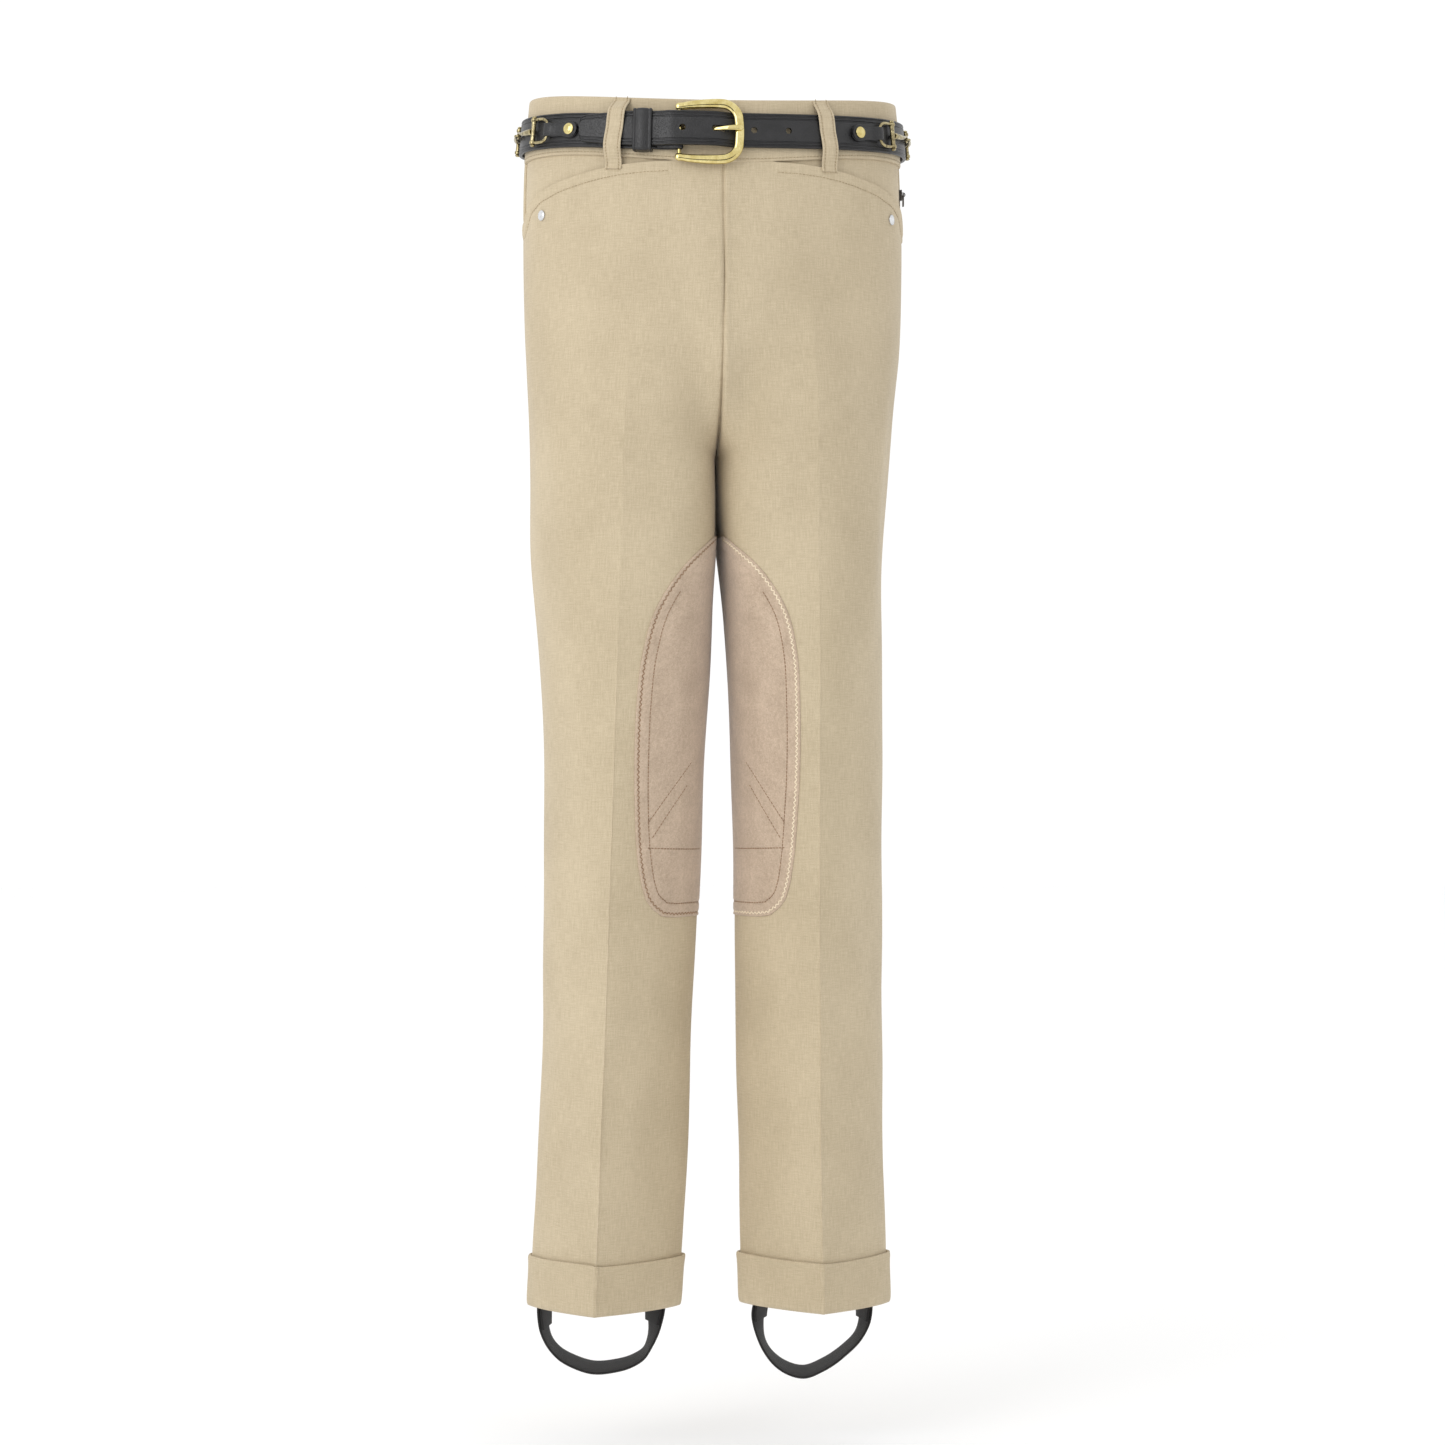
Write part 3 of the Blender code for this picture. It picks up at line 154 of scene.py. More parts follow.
def around(w, z):
    """The same surface by one running place: 0 to 1 in front, 1 to 2 behind. Past either end it
    goes on over the centre line above the crotch, and round the inseam below it."""
    w, z = np.broadcast_arrays(np.asarray(w, float), z)
    before = w < 0
    after = w > 2
    leg = z < CROTCH_Z
    u = np.where(before, -w, np.where(after, w - 2, np.where(w <= 1, w, 2 - w)))
    half = np.where(w <= 1, -1.0, 1.0)
    half = np.where(before & leg, 1.0, np.where(after & leg, -1.0, half))
    point = half_section(half, u, z)
    mirror = (before | after) & ~leg
    point[..., 0] = np.where(mirror, -point[..., 0], point[..., 0])
    return point


def outward(w, z):
    step_w, step_z = 0.004, 0.5
    along = around(w + step_w, z) - around(w - step_w, z)
    up = around(w, z + step_z) - around(w, z - step_z)
    normal = np.cross(along, up)
    return normal / np.linalg.norm(normal, axis=-1, keepdims=True)


def leg_shift(x, z):
    """How far a point hangs off its mirrored place, towards the wearer's left."""
    size = section(z)
    right_outer, right_inner, left_inner, left_outer = (
        smooth_through(z, SHIFT_ROWS[:, 0], SHIFT_ROWS[:, k]) for k in (1, 2, 3, 4)
    )
    inner = np.where(x > 0, left_inner, right_inner)
    outer = np.where(x > 0, left_outer, right_outer)
    share = (np.abs(x) - size["inner_x"]) / (size["side_x"] - size["inner_x"])
    return inner + (outer - inner) * share


def turned_leg(points):
    """Turns points of either leg about the leg's own middle and shifts them as the leg hangs."""
    z = points[..., 2]
    size = section(z)
    middle_x = np.sign(points[..., 0]) * (size["side_x"] + size["inner_x"]) / 2
    share = smooth_step((CROTCH_Z - z) / (CROTCH_Z - LEG_TURN_FULL_Z))
    cosine, sine = np.cos(LEG_TURN * share), np.sin(LEG_TURN * share)
    x, y = points[..., 0] - middle_x, points[..., 1]
    turned_x = middle_x + cosine * x - sine * y + leg_shift(points[..., 0], z)
    return np.stack([turned_x, sine * x + cosine * y, z], axis=-1)


# Lengths along the cloth from the inner seam, for every height and place
LENGTH_Z = np.arange(-885.0, 65.0, 5.0)
LENGTH_U = np.linspace(0, 1, 161)


def length_table(half):
    points = half_section(half, LENGTH_U[None, :], LENGTH_Z[:, None])
    steps = np.linalg.norm(np.diff(points, axis=1), axis=2)
    return np.concatenate([np.zeros((len(LENGTH_Z), 1)), np.cumsum(steps, axis=1)], axis=1)


LENGTHS = {-1: length_table(-1), 1: length_table(1)}


def lengths_at(half, z):
    row = np.clip((z - LENGTH_Z[0]) / 5.0, 0, len(LENGTH_Z) - 1.001)
    i = int(row)
    return LENGTHS[half][i] * (1 - row + i) + LENGTHS[half][i + 1] * (row - i)


def place_at(half, length, z):
    """u at a length along the cloth from the inner seam, at one height."""
    return np.interp(length, lengths_at(half, z), LENGTH_U)


def distance_to(path, points):
    """Least distance from each point to a path, both flat."""
    a, b = path[:-1], path[1:]
    run = b - a
    gap = points[..., None, :] - a
    t = np.clip(np.sum(gap * run, axis=-1) / np.sum(run * run, axis=-1), 0, 1)
    return np.linalg.norm(gap - t[..., None] * run, axis=-1).min(axis=-1)


# Top edge of the front pocket: distance from centre front, height
POCKET_EDGE = (
    (38, -33.2), (60, -34.0), (82, -36.2), (105, -41.0), (125, -47.5), (135, -54.0),
    (139.5, -62.0), (141.6, -73.0),
)
POCKET_START_X = 38.5
POCKET_HEM = 7.0
WAIST_ROW_Z = -60.0
WAIST_LINE = half_section(-1, LENGTH_U, WAIST_ROW_Z)
WAIST_LENGTH = lengths_at(-1, WAIST_ROW_Z)


def pocket_height(x):
    edge = np.array(POCKET_EDGE, float)
    return smooth_through(x, edge[:, 0], edge[:, 1])


def pocket_path(inset=0.0):
    """The pocket's edge on the flat cloth as (length from centre front, height), moved down."""
    x = np.concatenate([np.linspace(38, 130, 30), np.linspace(132, 141.6, 24)])
    path = np.stack([np.interp(x, WAIST_LINE[:, 0], WAIST_LENGTH), pocket_height(x)], axis=1)
    run = np.gradient(path, axis=0)
    run /= np.linalg.norm(run, axis=1, keepdims=True)
    return path + inset * np.stack([run[:, 1], -run[:, 0]], axis=1)


# Folds of the cloth: leg, place and height of both ends, half width, rise, and sideways bow
FOLDS = (
    ("right", 0.07, -226, 0.36, -330, 13, -0.9, 5),
    ("right", 0.10, -205, 0.50, -262, 15, -0.6, 4),
    ("right", 0.16, -236, 0.30, -420, 11, 0.7, -5),
    ("right", 0.76, -210, 0.72, -520, 12, 0.9, 4),
    ("right", 0.62, -470, 0.93, -492, 9, -0.6, 3),
    ("right", 0.66, -520, 0.90, -548, 12, 0.5, -4),
    ("right", 0.30, -640, 0.33, -800, 10, 0.6, 3),
    ("right", 0.72, -690, 0.76, -830, 11, -0.6, -3),
    ("right", 0.88, -130, 0.84, -300, 9, -0.7, 4),
    ("left", 0.08, -230, 0.44, -322, 14, -0.8, 4),
    ("left", 0.12, -212, 0.40, -250, 13, -0.5, -3),
    ("left", 0.20, -246, 0.34, -440, 12, 0.8, 5),
    ("left", 0.80, -150, 0.78, -420, 10, 0.9, -5),
    ("left", 0.90, -170, 0.88, -360, 8, -0.8, 3),
    ("left", 0.60, -486, 0.92, -470, 10, -0.6, -4),
    ("left", 0.70, -560, 0.86, -690, 12, 0.7, 4),
    ("left", 0.26, -660, 0.30, -820, 10, -0.5, 3),
    ("right", 1.94, -236, 1.46, -290, 12, -2.1, 9),
    ("right", 1.90, -262, 1.52, -322, 11, -1.5, 8),
    ("right", 1.78, -488, 1.30, -505, 10, -1.5, 5),
    ("right", 1.74, -520, 1.36, -541, 9, -1.2, 5),
    ("right", 1.30, -180, 1.24, -440, 12, 0.9, -6),
    ("right", 1.68, -600, 1.72, -790, 12, 0.8, 5),
    ("left", 1.93, -238, 1.52, -284, 12, -1.9, 8),
    ("left", 1.88, -268, 1.44, -318, 12, -1.6, 9),
    ("left", 1.80, -480, 1.34, -500, 11, -1.4, 6),
    ("left", 1.70, -512, 1.28, -536, 9, -1.1, 4),
    ("left", 1.22, -200, 1.27, -430, 12, 0.8, 5),
    ("left", 1.66, -620, 1.64, -800, 11, 0.7, -4),
)
# Slow swell of the cloth: rise, turns per place, turns per metre of height, start
SWELLS = ((0.45, 1.5, 2.9, 0.4), (0.35, 2.0, -4.6, 1.9), (0.25, 3.5, 6.3, 3.1), (0.2, 1.0, 9.4, 5.0))
WIDTH_Z = (-875, -573, -400, -266, -160, -30)
WIDTH_OF_HALF = (165, 175, 190, 214, 190, 184)
CREASE_START_Z = -170.0
CREASE_FULL_OVER = 260.0
CREASE_RISE = 0.7
CREASE_HALF_WIDTH = 2.2
SOFT_CREASE_START_Z = -90.0
SOFT_CREASE_FULL_OVER = 120.0
SOFT_CREASE_RISE = 1.7
SOFT_CREASE_HALF_WIDTH = 13.0
SEAM_SINK = 1.1
SEAM_HALF_WIDTH = 1.1
SEAM_PUFF = 0.3
CENTRE_PUFF = 0.55


def folded(leg, w, z):
    """Rise of the cloth from its folds and its slow swell."""
    width = np.interp(z, WIDTH_Z, WIDTH_OF_HALF)
    start = 0.0 if leg == "left" else 2.3
    rise = np.zeros_like(width + w)
    for size, turns, fall, phase in SWELLS:
        rise += size * np.sin(2 * math.pi * (w * turns + z * MM * fall) + phase + start)
    rise *= smooth_step((-60 - z) / 80) * smooth_step((z + 885) / 60)
    for owner, w0, z0, w1, z1, half_width, depth, bow in FOLDS:
        if owner != leg:
            continue
        run = np.array([(w1 - w0) * np.interp((z0 + z1) / 2, WIDTH_Z, WIDTH_OF_HALF), z1 - z0])
        span = math.hypot(*run)
        past = np.where(z < CROTCH_Z, (w - w0 + 1) % 2 - 1, w - w0)
        x, y = past * width, z - z0
        t = (x * run[0] + y * run[1]) / span**2
        off = (x * run[1] - y * run[0]) / span - bow * 4 * t * (1 - t)
        rise += depth * np.exp(-((off / half_width) ** 2)) * np.exp(-(((t - 0.5) / 0.42) ** 4))
    return rise


def relief(leg, w, z):
    """Rise of the outer face of a panel: folds, crease, seams and the hem of the pocket."""
    w, z = np.broadcast_arrays(np.asarray(w, float), np.asarray(z, float))
    point = around(w, z)
    width = np.interp(z, WIDTH_Z, WIDTH_OF_HALF)
    from_crease = np.minimum(np.abs(np.abs(w) - 0.5), np.abs(w - 1.5)) * width
    pressed = smooth_step((CREASE_START_Z - z) / CREASE_FULL_OVER)
    rise = folded(leg, w, z) + CREASE_RISE * pressed * np.exp(-from_crease / CREASE_HALF_WIDTH)
    soft = smooth_step((SOFT_CREASE_START_Z - z) / SOFT_CREASE_FULL_OVER) * (1 - 0.6 * pressed)
    rise += SOFT_CREASE_RISE * soft * np.exp(-from_crease / SOFT_CREASE_HALF_WIDTH)
    at_side = np.abs(w - 1) < 0.5
    from_seam = np.where(at_side | (z < CROTCH_Z), np.abs(point[..., 1]), np.abs(point[..., 0]))
    clear = np.where(at_side, 1.0, smooth_step((np.abs(z - CROTCH_Z) - 4) / 14))
    rise -= clear * SEAM_SINK * np.exp(-((from_seam / SEAM_HALF_WIDTH) ** 2))
    rise += clear * SEAM_PUFF * np.exp(-(((from_seam - 3.4) / 2.2) ** 2))
    if leg == "left":
        centre = ~at_side & (z > CROTCH_Z) & (w < 1)
        rise += np.where(centre, clear * CENTRE_PUFF * np.exp(-(((from_seam - 2.4) / 1.6) ** 2)), 0)
    near_pocket = (z > -100) & (w < 1.02) & (w >= 0)
    if np.any(near_pocket):
        flat = np.stack([np.interp(w, LENGTH_U, WAIST_LENGTH), z], axis=-1)[near_pocket]
        inside = distance_to(pocket_path(), flat)
        fade = smooth_step((flat[:, 0] - 36) / 6)
        band = 0.75 * (1 - smooth_step((inside - POCKET_HEM + 0.9) / 1.8))
        lip = 0.5 * np.exp(-((inside / 1.6) ** 2))
        groove = 0.45 * np.exp(-(((inside - POCKET_HEM) / 1.0) ** 2))
        rise[near_pocket] += fade * (band + lip - groove)
    return rise


def cloth(leg, w, z, lift=0.0):
    """A point of the garment's outer face on one leg, lifted off it."""
    w, z = np.broadcast_arrays(np.asarray(w, float), np.asarray(z, float))
    point = around(w, z) + (relief(leg, w, z) + lift)[..., None] * outward(w, z)
    point[..., 0] = np.maximum(point[..., 0], 0.02)
    if leg == "right":
        point = point * (-1, 1, 1)
    return turned_leg(point)


def make_piece(name, points, faces, uvs=None, material=None):
    """A mesh from points in millimetres. uvs are places on the flat cloth, one for each corner."""
    mesh = bpy.data.meshes.new(name)
    mesh.from_pydata((np.asarray(points) * MM).tolist(), [], [list(map(int, f)) for f in faces])
    if uvs is not None:
        layer = mesh.uv_layers.new(name="flat_cloth")
        layer.data.foreach_set("uv", (np.asarray(uvs, float) * MM).astype(np.float32).ravel())
    work = bmesh.new()
    work.from_mesh(mesh)
    bmesh.ops.remove_doubles(work, verts=work.verts, dist=1e-6)
    bmesh.ops.recalc_face_normals(work, faces=work.faces)
    work.to_mesh(mesh)
    work.free()
    mesh.shade_smooth()
    mesh.set_sharp_from_angle(angle=math.radians(50))
    made = bpy.data.objects.new(name, mesh)
    bpy.context.scene.collection.objects.link(made)
    if material:
        mesh.materials.append(material)
    return made


def stand_in(made, node):
    """Hangs a piece from the root body and hides the plain solid that it stands in for."""
    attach(made, "root")
    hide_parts(node)


def grid_cells(rows, columns, loop=False):
    """Corners of each cell of a grid, and the same corners where the last column isn't the first."""
    across = columns if loop else columns - 1
    i, j = np.meshgrid(np.arange(rows - 1), np.arange(across), indexing="ij")
    i, j = i.ravel(), j.ravel()
    beside = (j + 1) % columns
    cells = np.stack(
        [i * columns + j, i * columns + beside, (i + 1) * columns + beside, (i + 1) * columns + j], 1
    )
    wide = columns + 1 if loop else columns
    flat = np.stack([i * wide + j, i * wide + j + 1, (i + 1) * wide + j + 1, (i + 1) * wide + j], 1)
    return cells, flat


def shell(name, outer, inner, flat, material, loop=False):
    """A cloth wall between two grids of points, with the same flat places on both faces."""
    rows, columns = outer.shape[:2]
    cells, places = grid_cells(rows, columns, loop)
    shift = rows * columns
    flat = flat.reshape(-1, 2)
    faces = np.concatenate([cells, cells[:, ::-1] + shift])
    uvs = np.concatenate([flat[places].reshape(-1, 2), flat[places[:, ::-1]].reshape(-1, 2)])
    rim = []
    rim_uvs = []
    edges = {}
    for corners, spots in zip(cells.tolist(), places.tolist()):
        for k in range(4):
            a, b = corners[k], corners[(k + 1) % 4]
            if (b, a) in edges:
                edges.pop((b, a))
            else:
                edges[(a, b)] = (spots[k], spots[(k + 1) % 4])
    for (a, b), (spot_a, spot_b) in edges.items():
        rim.append((b, a, a + shift, b + shift))
        rim_uvs += [flat[spot_b], flat[spot_a], flat[spot_a], flat[spot_b]]
    points = np.concatenate([outer.reshape(-1, 3), inner.reshape(-1, 3)])
    faces = faces.tolist() + rim
    return make_piece(name, points, faces, np.concatenate([uvs, np.array(rim_uvs)]), material)


class Shade:
    """A socket of a material's nodes that takes part in an expression."""

    def __init__(self, tree, socket):
        self.tree = tree
        self.socket = socket

    def node(self, kind, settings=None, sockets=None, out=0):
        """Any node: its type, its settings, and the values or links of its sockets."""
        made = self.tree.nodes.new(kind)
        for key, value in (settings or {}).items():
            setattr(made, key, value)
        for key, value in (sockets or {}).items():
            if isinstance(value, Shade):
                self.tree.links.new(value.socket, made.inputs[key])
            else:
                made.inputs[key].default_value = value
        return Shade(self.tree, made.outputs[out])

    def math(self, operation, first, second=0.0):
        return self.node("ShaderNodeMath", {"operation": operation}, {0: first, 1: second})

    def __add__(self, other):
        return self.math("ADD", self, other)

    def __sub__(self, other):
        return self.math("SUBTRACT", self, other)

    def __mul__(self, other):
        return self.math("MULTIPLY", self, other)

    def wave(self):
        return self.math("SINE", self)

    def step(self, low, high):
        """Rises smoothly from 0 at low to 1 at high."""
        sockets = {"Value": self, "From Min": low, "From Max": high}
        return self.node("ShaderNodeMapRange", {"interpolation_type": "SMOOTHSTEP"}, sockets)

    def between(self, dark, light):
        """A colour that goes from dark to light as this goes from 0 to 1."""
        sockets = {0: self, 6: (*dark, 1.0), 7: (*light, 1.0)}
        return self.node("ShaderNodeMix", {"data_type": "RGBA"}, sockets, out=2)

    def painted(self, colour, mask):
        """This colour with another laid over it where the mask is 1."""
        sockets = {0: mask, 6: self, 7: (*colour, 1.0)}
        return self.node("ShaderNodeMix", {"data_type": "RGBA"}, sockets, out=2)

    def stretched(self, size):
        """This place with each axis divided by a size in millimetres."""
        scale = tuple(1.0 / (s * MM) for s in size)
        return self.node("ShaderNodeVectorMath", {"operation": "MULTIPLY"}, {0: self, 1: scale})

    def noise(self, size, detail=2.0, seed=0.0):
        """Mottling whose blots have this size along each axis, in millimetres."""
        moved = self.node(
            "ShaderNodeVectorMath", {"operation": "ADD"}, {0: self.stretched(size), 1: (seed, seed, seed)}
        )
        return self.node("ShaderNodeTexNoise", None, {"Vector": moved, "Scale": 1.0, "Detail": detail})

    def axis(self, k):
        return self.node("ShaderNodeSeparateXYZ", None, {0: self}, out=k)


def seen(red, green, blue):
    """Linear colour of one that is seen as these levels from 0 to 255."""
    levels = (np.array([red, green, blue]) / 255.0 + 0.055) / 1.055
    return tuple(float(v) for v in levels**2.4)


def new_material(name, constants):
    """A material with one Principled shader, whose constant sockets are set here."""
    made = bpy.data.materials.new(name)
    made.use_nodes = True
    shader = made.node_tree.nodes["Principled BSDF"]
    for key, value in constants.items():
        shader.inputs[key].default_value = value
    start = Shade(made.node_tree, None)
    flat = start.node("ShaderNodeTexCoord", out="UV")
    solid = start.node("ShaderNodeTexCoord", out="Object")
    return made, shader, flat, solid


def link(shader, socket, value):
    value.tree.links.new(value.socket, shader.inputs[socket])


def rough_up(shader, height, depth, strength=1.0):
    """Bump whose full height is depth millimetres."""
    sockets = {"Height": height, "Distance": depth * MM, "Strength": strength}
    link(shader, "Normal", height.node("ShaderNodeBump", None, sockets))


TWILL_DARK = seen(171, 156, 129)
TWILL_LIGHT = seen(209, 194, 166)


def twill_material(name, dark=TWILL_DARK, light=TWILL_LIGHT):
    """Stretch twill: fine diagonal ribs under uneven yarns that run both ways."""
    made, shader, flat, solid = new_material(
        name, {"Roughness": 0.88, "Sheen Weight": 0.18, "Sheen Roughness": 0.45,
               "Specular IOR Level": 0.25},
    )
    across = flat.noise((9.0, 0.8, 1.0), 2.0, 3.0)
    down = flat.noise((0.8, 11.0, 1.0), 2.0, 11.0)
    grain = flat.noise((0.75, 0.75, 1.0), 1.0, 7.0)
    cloud = flat.noise((55.0, 90.0, 1.0), 3.0, 19.0)
    place = flat.stretched((1.0, 1.0, 1.0))
    rib = ((place.axis(0) * 5.2 + place.axis(1) * 5.2)).wave() * 0.5 + 0.5
    tone = across * 0.30 + down * 0.34 + grain * 0.26 + cloud * 0.3 + rib * 0.05 - 0.12
    link(shader, "Base Color", tone.step(0.2, 0.85).between(dark, light))
    rough_up(shader, across * 0.5 + down * 0.5 + grain * 0.5 + rib * 0.2, 0.22, 0.7)
    return made


twill = twill_material("tan_stretch_twill")


def denser_ends(count, bunch=0.86):
    t = np.linspace(0, 1, count)
    return t - bunch * np.sin(2 * math.pi * t) / (2 * math.pi)


def band_height(edge, u, half, power=PLAIN_POWER):
    """Height of a line round the waist at u, from its heights at front, side and back."""
    front, side, back = edge
    size = section(side)
    crease_angle = math.asin(size["crease_x"] / size["side_x"])
    past = crease_angle + (math.pi / 2 - crease_angle) * (u - 0.5) / 0.5
    angle = np.where(u < 0.5, crease_angle * u / 0.5, past)
    return side + ((front if half < 0 else back) - side) * np.cos(angle) ** power


PANEL_TOP_Z = -34.0
ZIP_FOOT_Z = -118.0
ZIP_SLIT_HALF = 0.9
SHAPED_FOOT_Z = -118.0
INNER_COLUMNS = 36
OUTER_COLUMNS = 40
SHAPED_ROWS = 50
LEG_ROW_STEP = 3.6


def open_zip(points, half):
    """Holds the edges of the left side seam apart where the zip is."""
    reach = ZIP_SLIT_HALF * smooth_step((points[..., 2] - ZIP_FOOT_Z) / 10)
    by_zip = (points[..., 0] > 100) & (reach > 0)
    held = half * np.maximum(half * points[..., 1], reach)
    points[..., 1] = np.where(by_zip, held, points[..., 1])
    return points


def panel_places(half):
    """Running place, height and flat place of a panel's points, row by row."""
    leg_rows = int((SHAPED_FOOT_Z - HEM_Z) / LEG_ROW_STEP)
    shaped = np.linspace(0, 1, SHAPED_ROWS)[:-1] ** 1.5
    rows = np.concatenate([
        PANEL_TOP_Z + (SHAPED_FOOT_Z - PANEL_TOP_Z) * shaped,
        np.linspace(SHAPED_FOOT_Z, HEM_Z, leg_rows),
    ])
    places, heights, flats = [], [], []
    for z in rows:
        length = lengths_at(half, min(z, WAIST_ROW_Z))
        crease = np.interp(0.5, LENGTH_U, length)
        inner = denser_ends(INNER_COLUMNS) * crease
        outer = crease + denser_ends(OUTER_COLUMNS)[1:] * (length[-1] - crease)
        along = np.concatenate([inner, outer])
        u = np.interp(along, length, LENGTH_U)
        height = np.full_like(u, z)
        if z > SHAPED_FOOT_Z:
            top = band_height(BAND_SEAM, u, half, BAND_SEAM_POWER) - 0.1
            if half < 0:
                x = half_section(half, u, WAIST_ROW_Z)[:, 0]
                top = np.where(x > POCKET_START_X, np.minimum(top, pocket_height(x)), top)
            share = (z - SHAPED_FOOT_Z) / (PANEL_TOP_Z - SHAPED_FOOT_Z)
            height = SHAPED_FOOT_Z + (top - SHAPED_FOOT_Z) * share
        places.append(u if half < 0 else 2 - u)
        heights.append(height)
        flats.append(np.stack([along - crease, height], axis=1))
    return np.array(places), np.array(heights), np.array(flats)


LEGS = ("left", "right")
FRONT_CUT = {"flat": (0.232, 0.842), "area": 0.157}
BACK_CUT = {"flat": (0.240, 0.862), "area": 0.166}
for half, part, cut in ((-1, "front", FRONT_CUT), (1, "back", BACK_CUT)):
    w, z, flat_places = panel_places(half)
    for leg in LEGS:
        faces_of_cloth = []
        for lift in (0.0, -CLOTH):
            points = cloth(leg, w, z, lift)
            faces_of_cloth.append(open_zip(points, half) if leg == "left" else points)
        panel = shell(f"cloth_{part}_{leg}", *faces_of_cloth, flat_places, twill)
        stand_in(panel, f"{part}_panel_{leg}")

# Pockets: the front panel's slanted edge is turned in and topstitched, and a piece of the same twill
# behind it, the hip yoke, fills the opening up to the waist seam and out to the side seam.
YOKE_SINK = 1.6
YOKE_START = 24.0
YOKE_UNDERLAP = 10.0
STITCH_PITCH = 2.7
STITCH_LENGTH = 2.3
STITCH_WIDTH = 0.75


def loft(name, rings, material, loop=False):
    """A closed bar through rings of points, capped at both ends unless it closes on itself."""
    rings = np.asarray(rings, float)
    count, sides = rings.shape[:2]
    grid = np.concatenate([rings, rings[:1]]) if loop else rings
    wrapped = np.concatenate([grid, grid[:, :1]], axis=1)
    girth = np.linalg.norm(np.diff(wrapped, axis=1), axis=2).mean(axis=0)
    along = np.linalg.norm(np.diff(wrapped, axis=0), axis=2).mean(axis=1)
    v = np.concatenate([[0], np.cumsum(girth)])
    u = np.concatenate([[0], np.cumsum(along)])
    flat = np.stack(np.meshgrid(u, v, indexing="ij"), axis=-1).reshape(-1, 2)
    cells, places = grid_cells(len(grid), sides, loop=True)
    faces = (cells % (count * sides)).tolist()
    uvs = flat[places].reshape(-1, 2).tolist()
    if not loop:
        faces += [list(range(sides)), list(range((count - 1) * sides, count * sides))[::-1]]
        uvs += [(0.0, x) for x in v[:-1]] + [(u[-1], x) for x in v[:-1][::-1]]
    return make_piece(name, rings.reshape(-1, 3), faces, uvs, material)


def turned(name, profile, centre, axis, material, sides=24):
    """A round piece: (distance along the axis, radius) pairs turned about it."""
    axis = np.asarray(axis, float) / np.linalg.norm(axis)
    aside = np.cross(axis, (0.0, 0.0, 1.0) if abs(axis[2]) < 0.9 else (1.0, 0.0, 0.0))
    aside /= np.linalg.norm(aside)
    third = np.cross(axis, aside)
    turn = np.linspace(0, 2 * math.pi, sides, endpoint=False)[:, None]
    rim = np.cos(turn) * aside + np.sin(turn) * third
    rings = [np.asarray(centre) + along * axis + radius * rim for along, radius in profile]
    return loft(name, rings, material)


THREAD_ENDS = ((-0.5, 0.08), (-0.42, 0.36), (-0.15, 0.5), (0.15, 0.5), (0.42, 0.36), (0.5, 0.08))
thread_form = turned(
    "thread_form", [(a / MM, r / MM) for a, r in THREAD_ENDS], (0, 0, 0), (1, 0, 0), None, sides=6
)
thread_form.hide_render = True


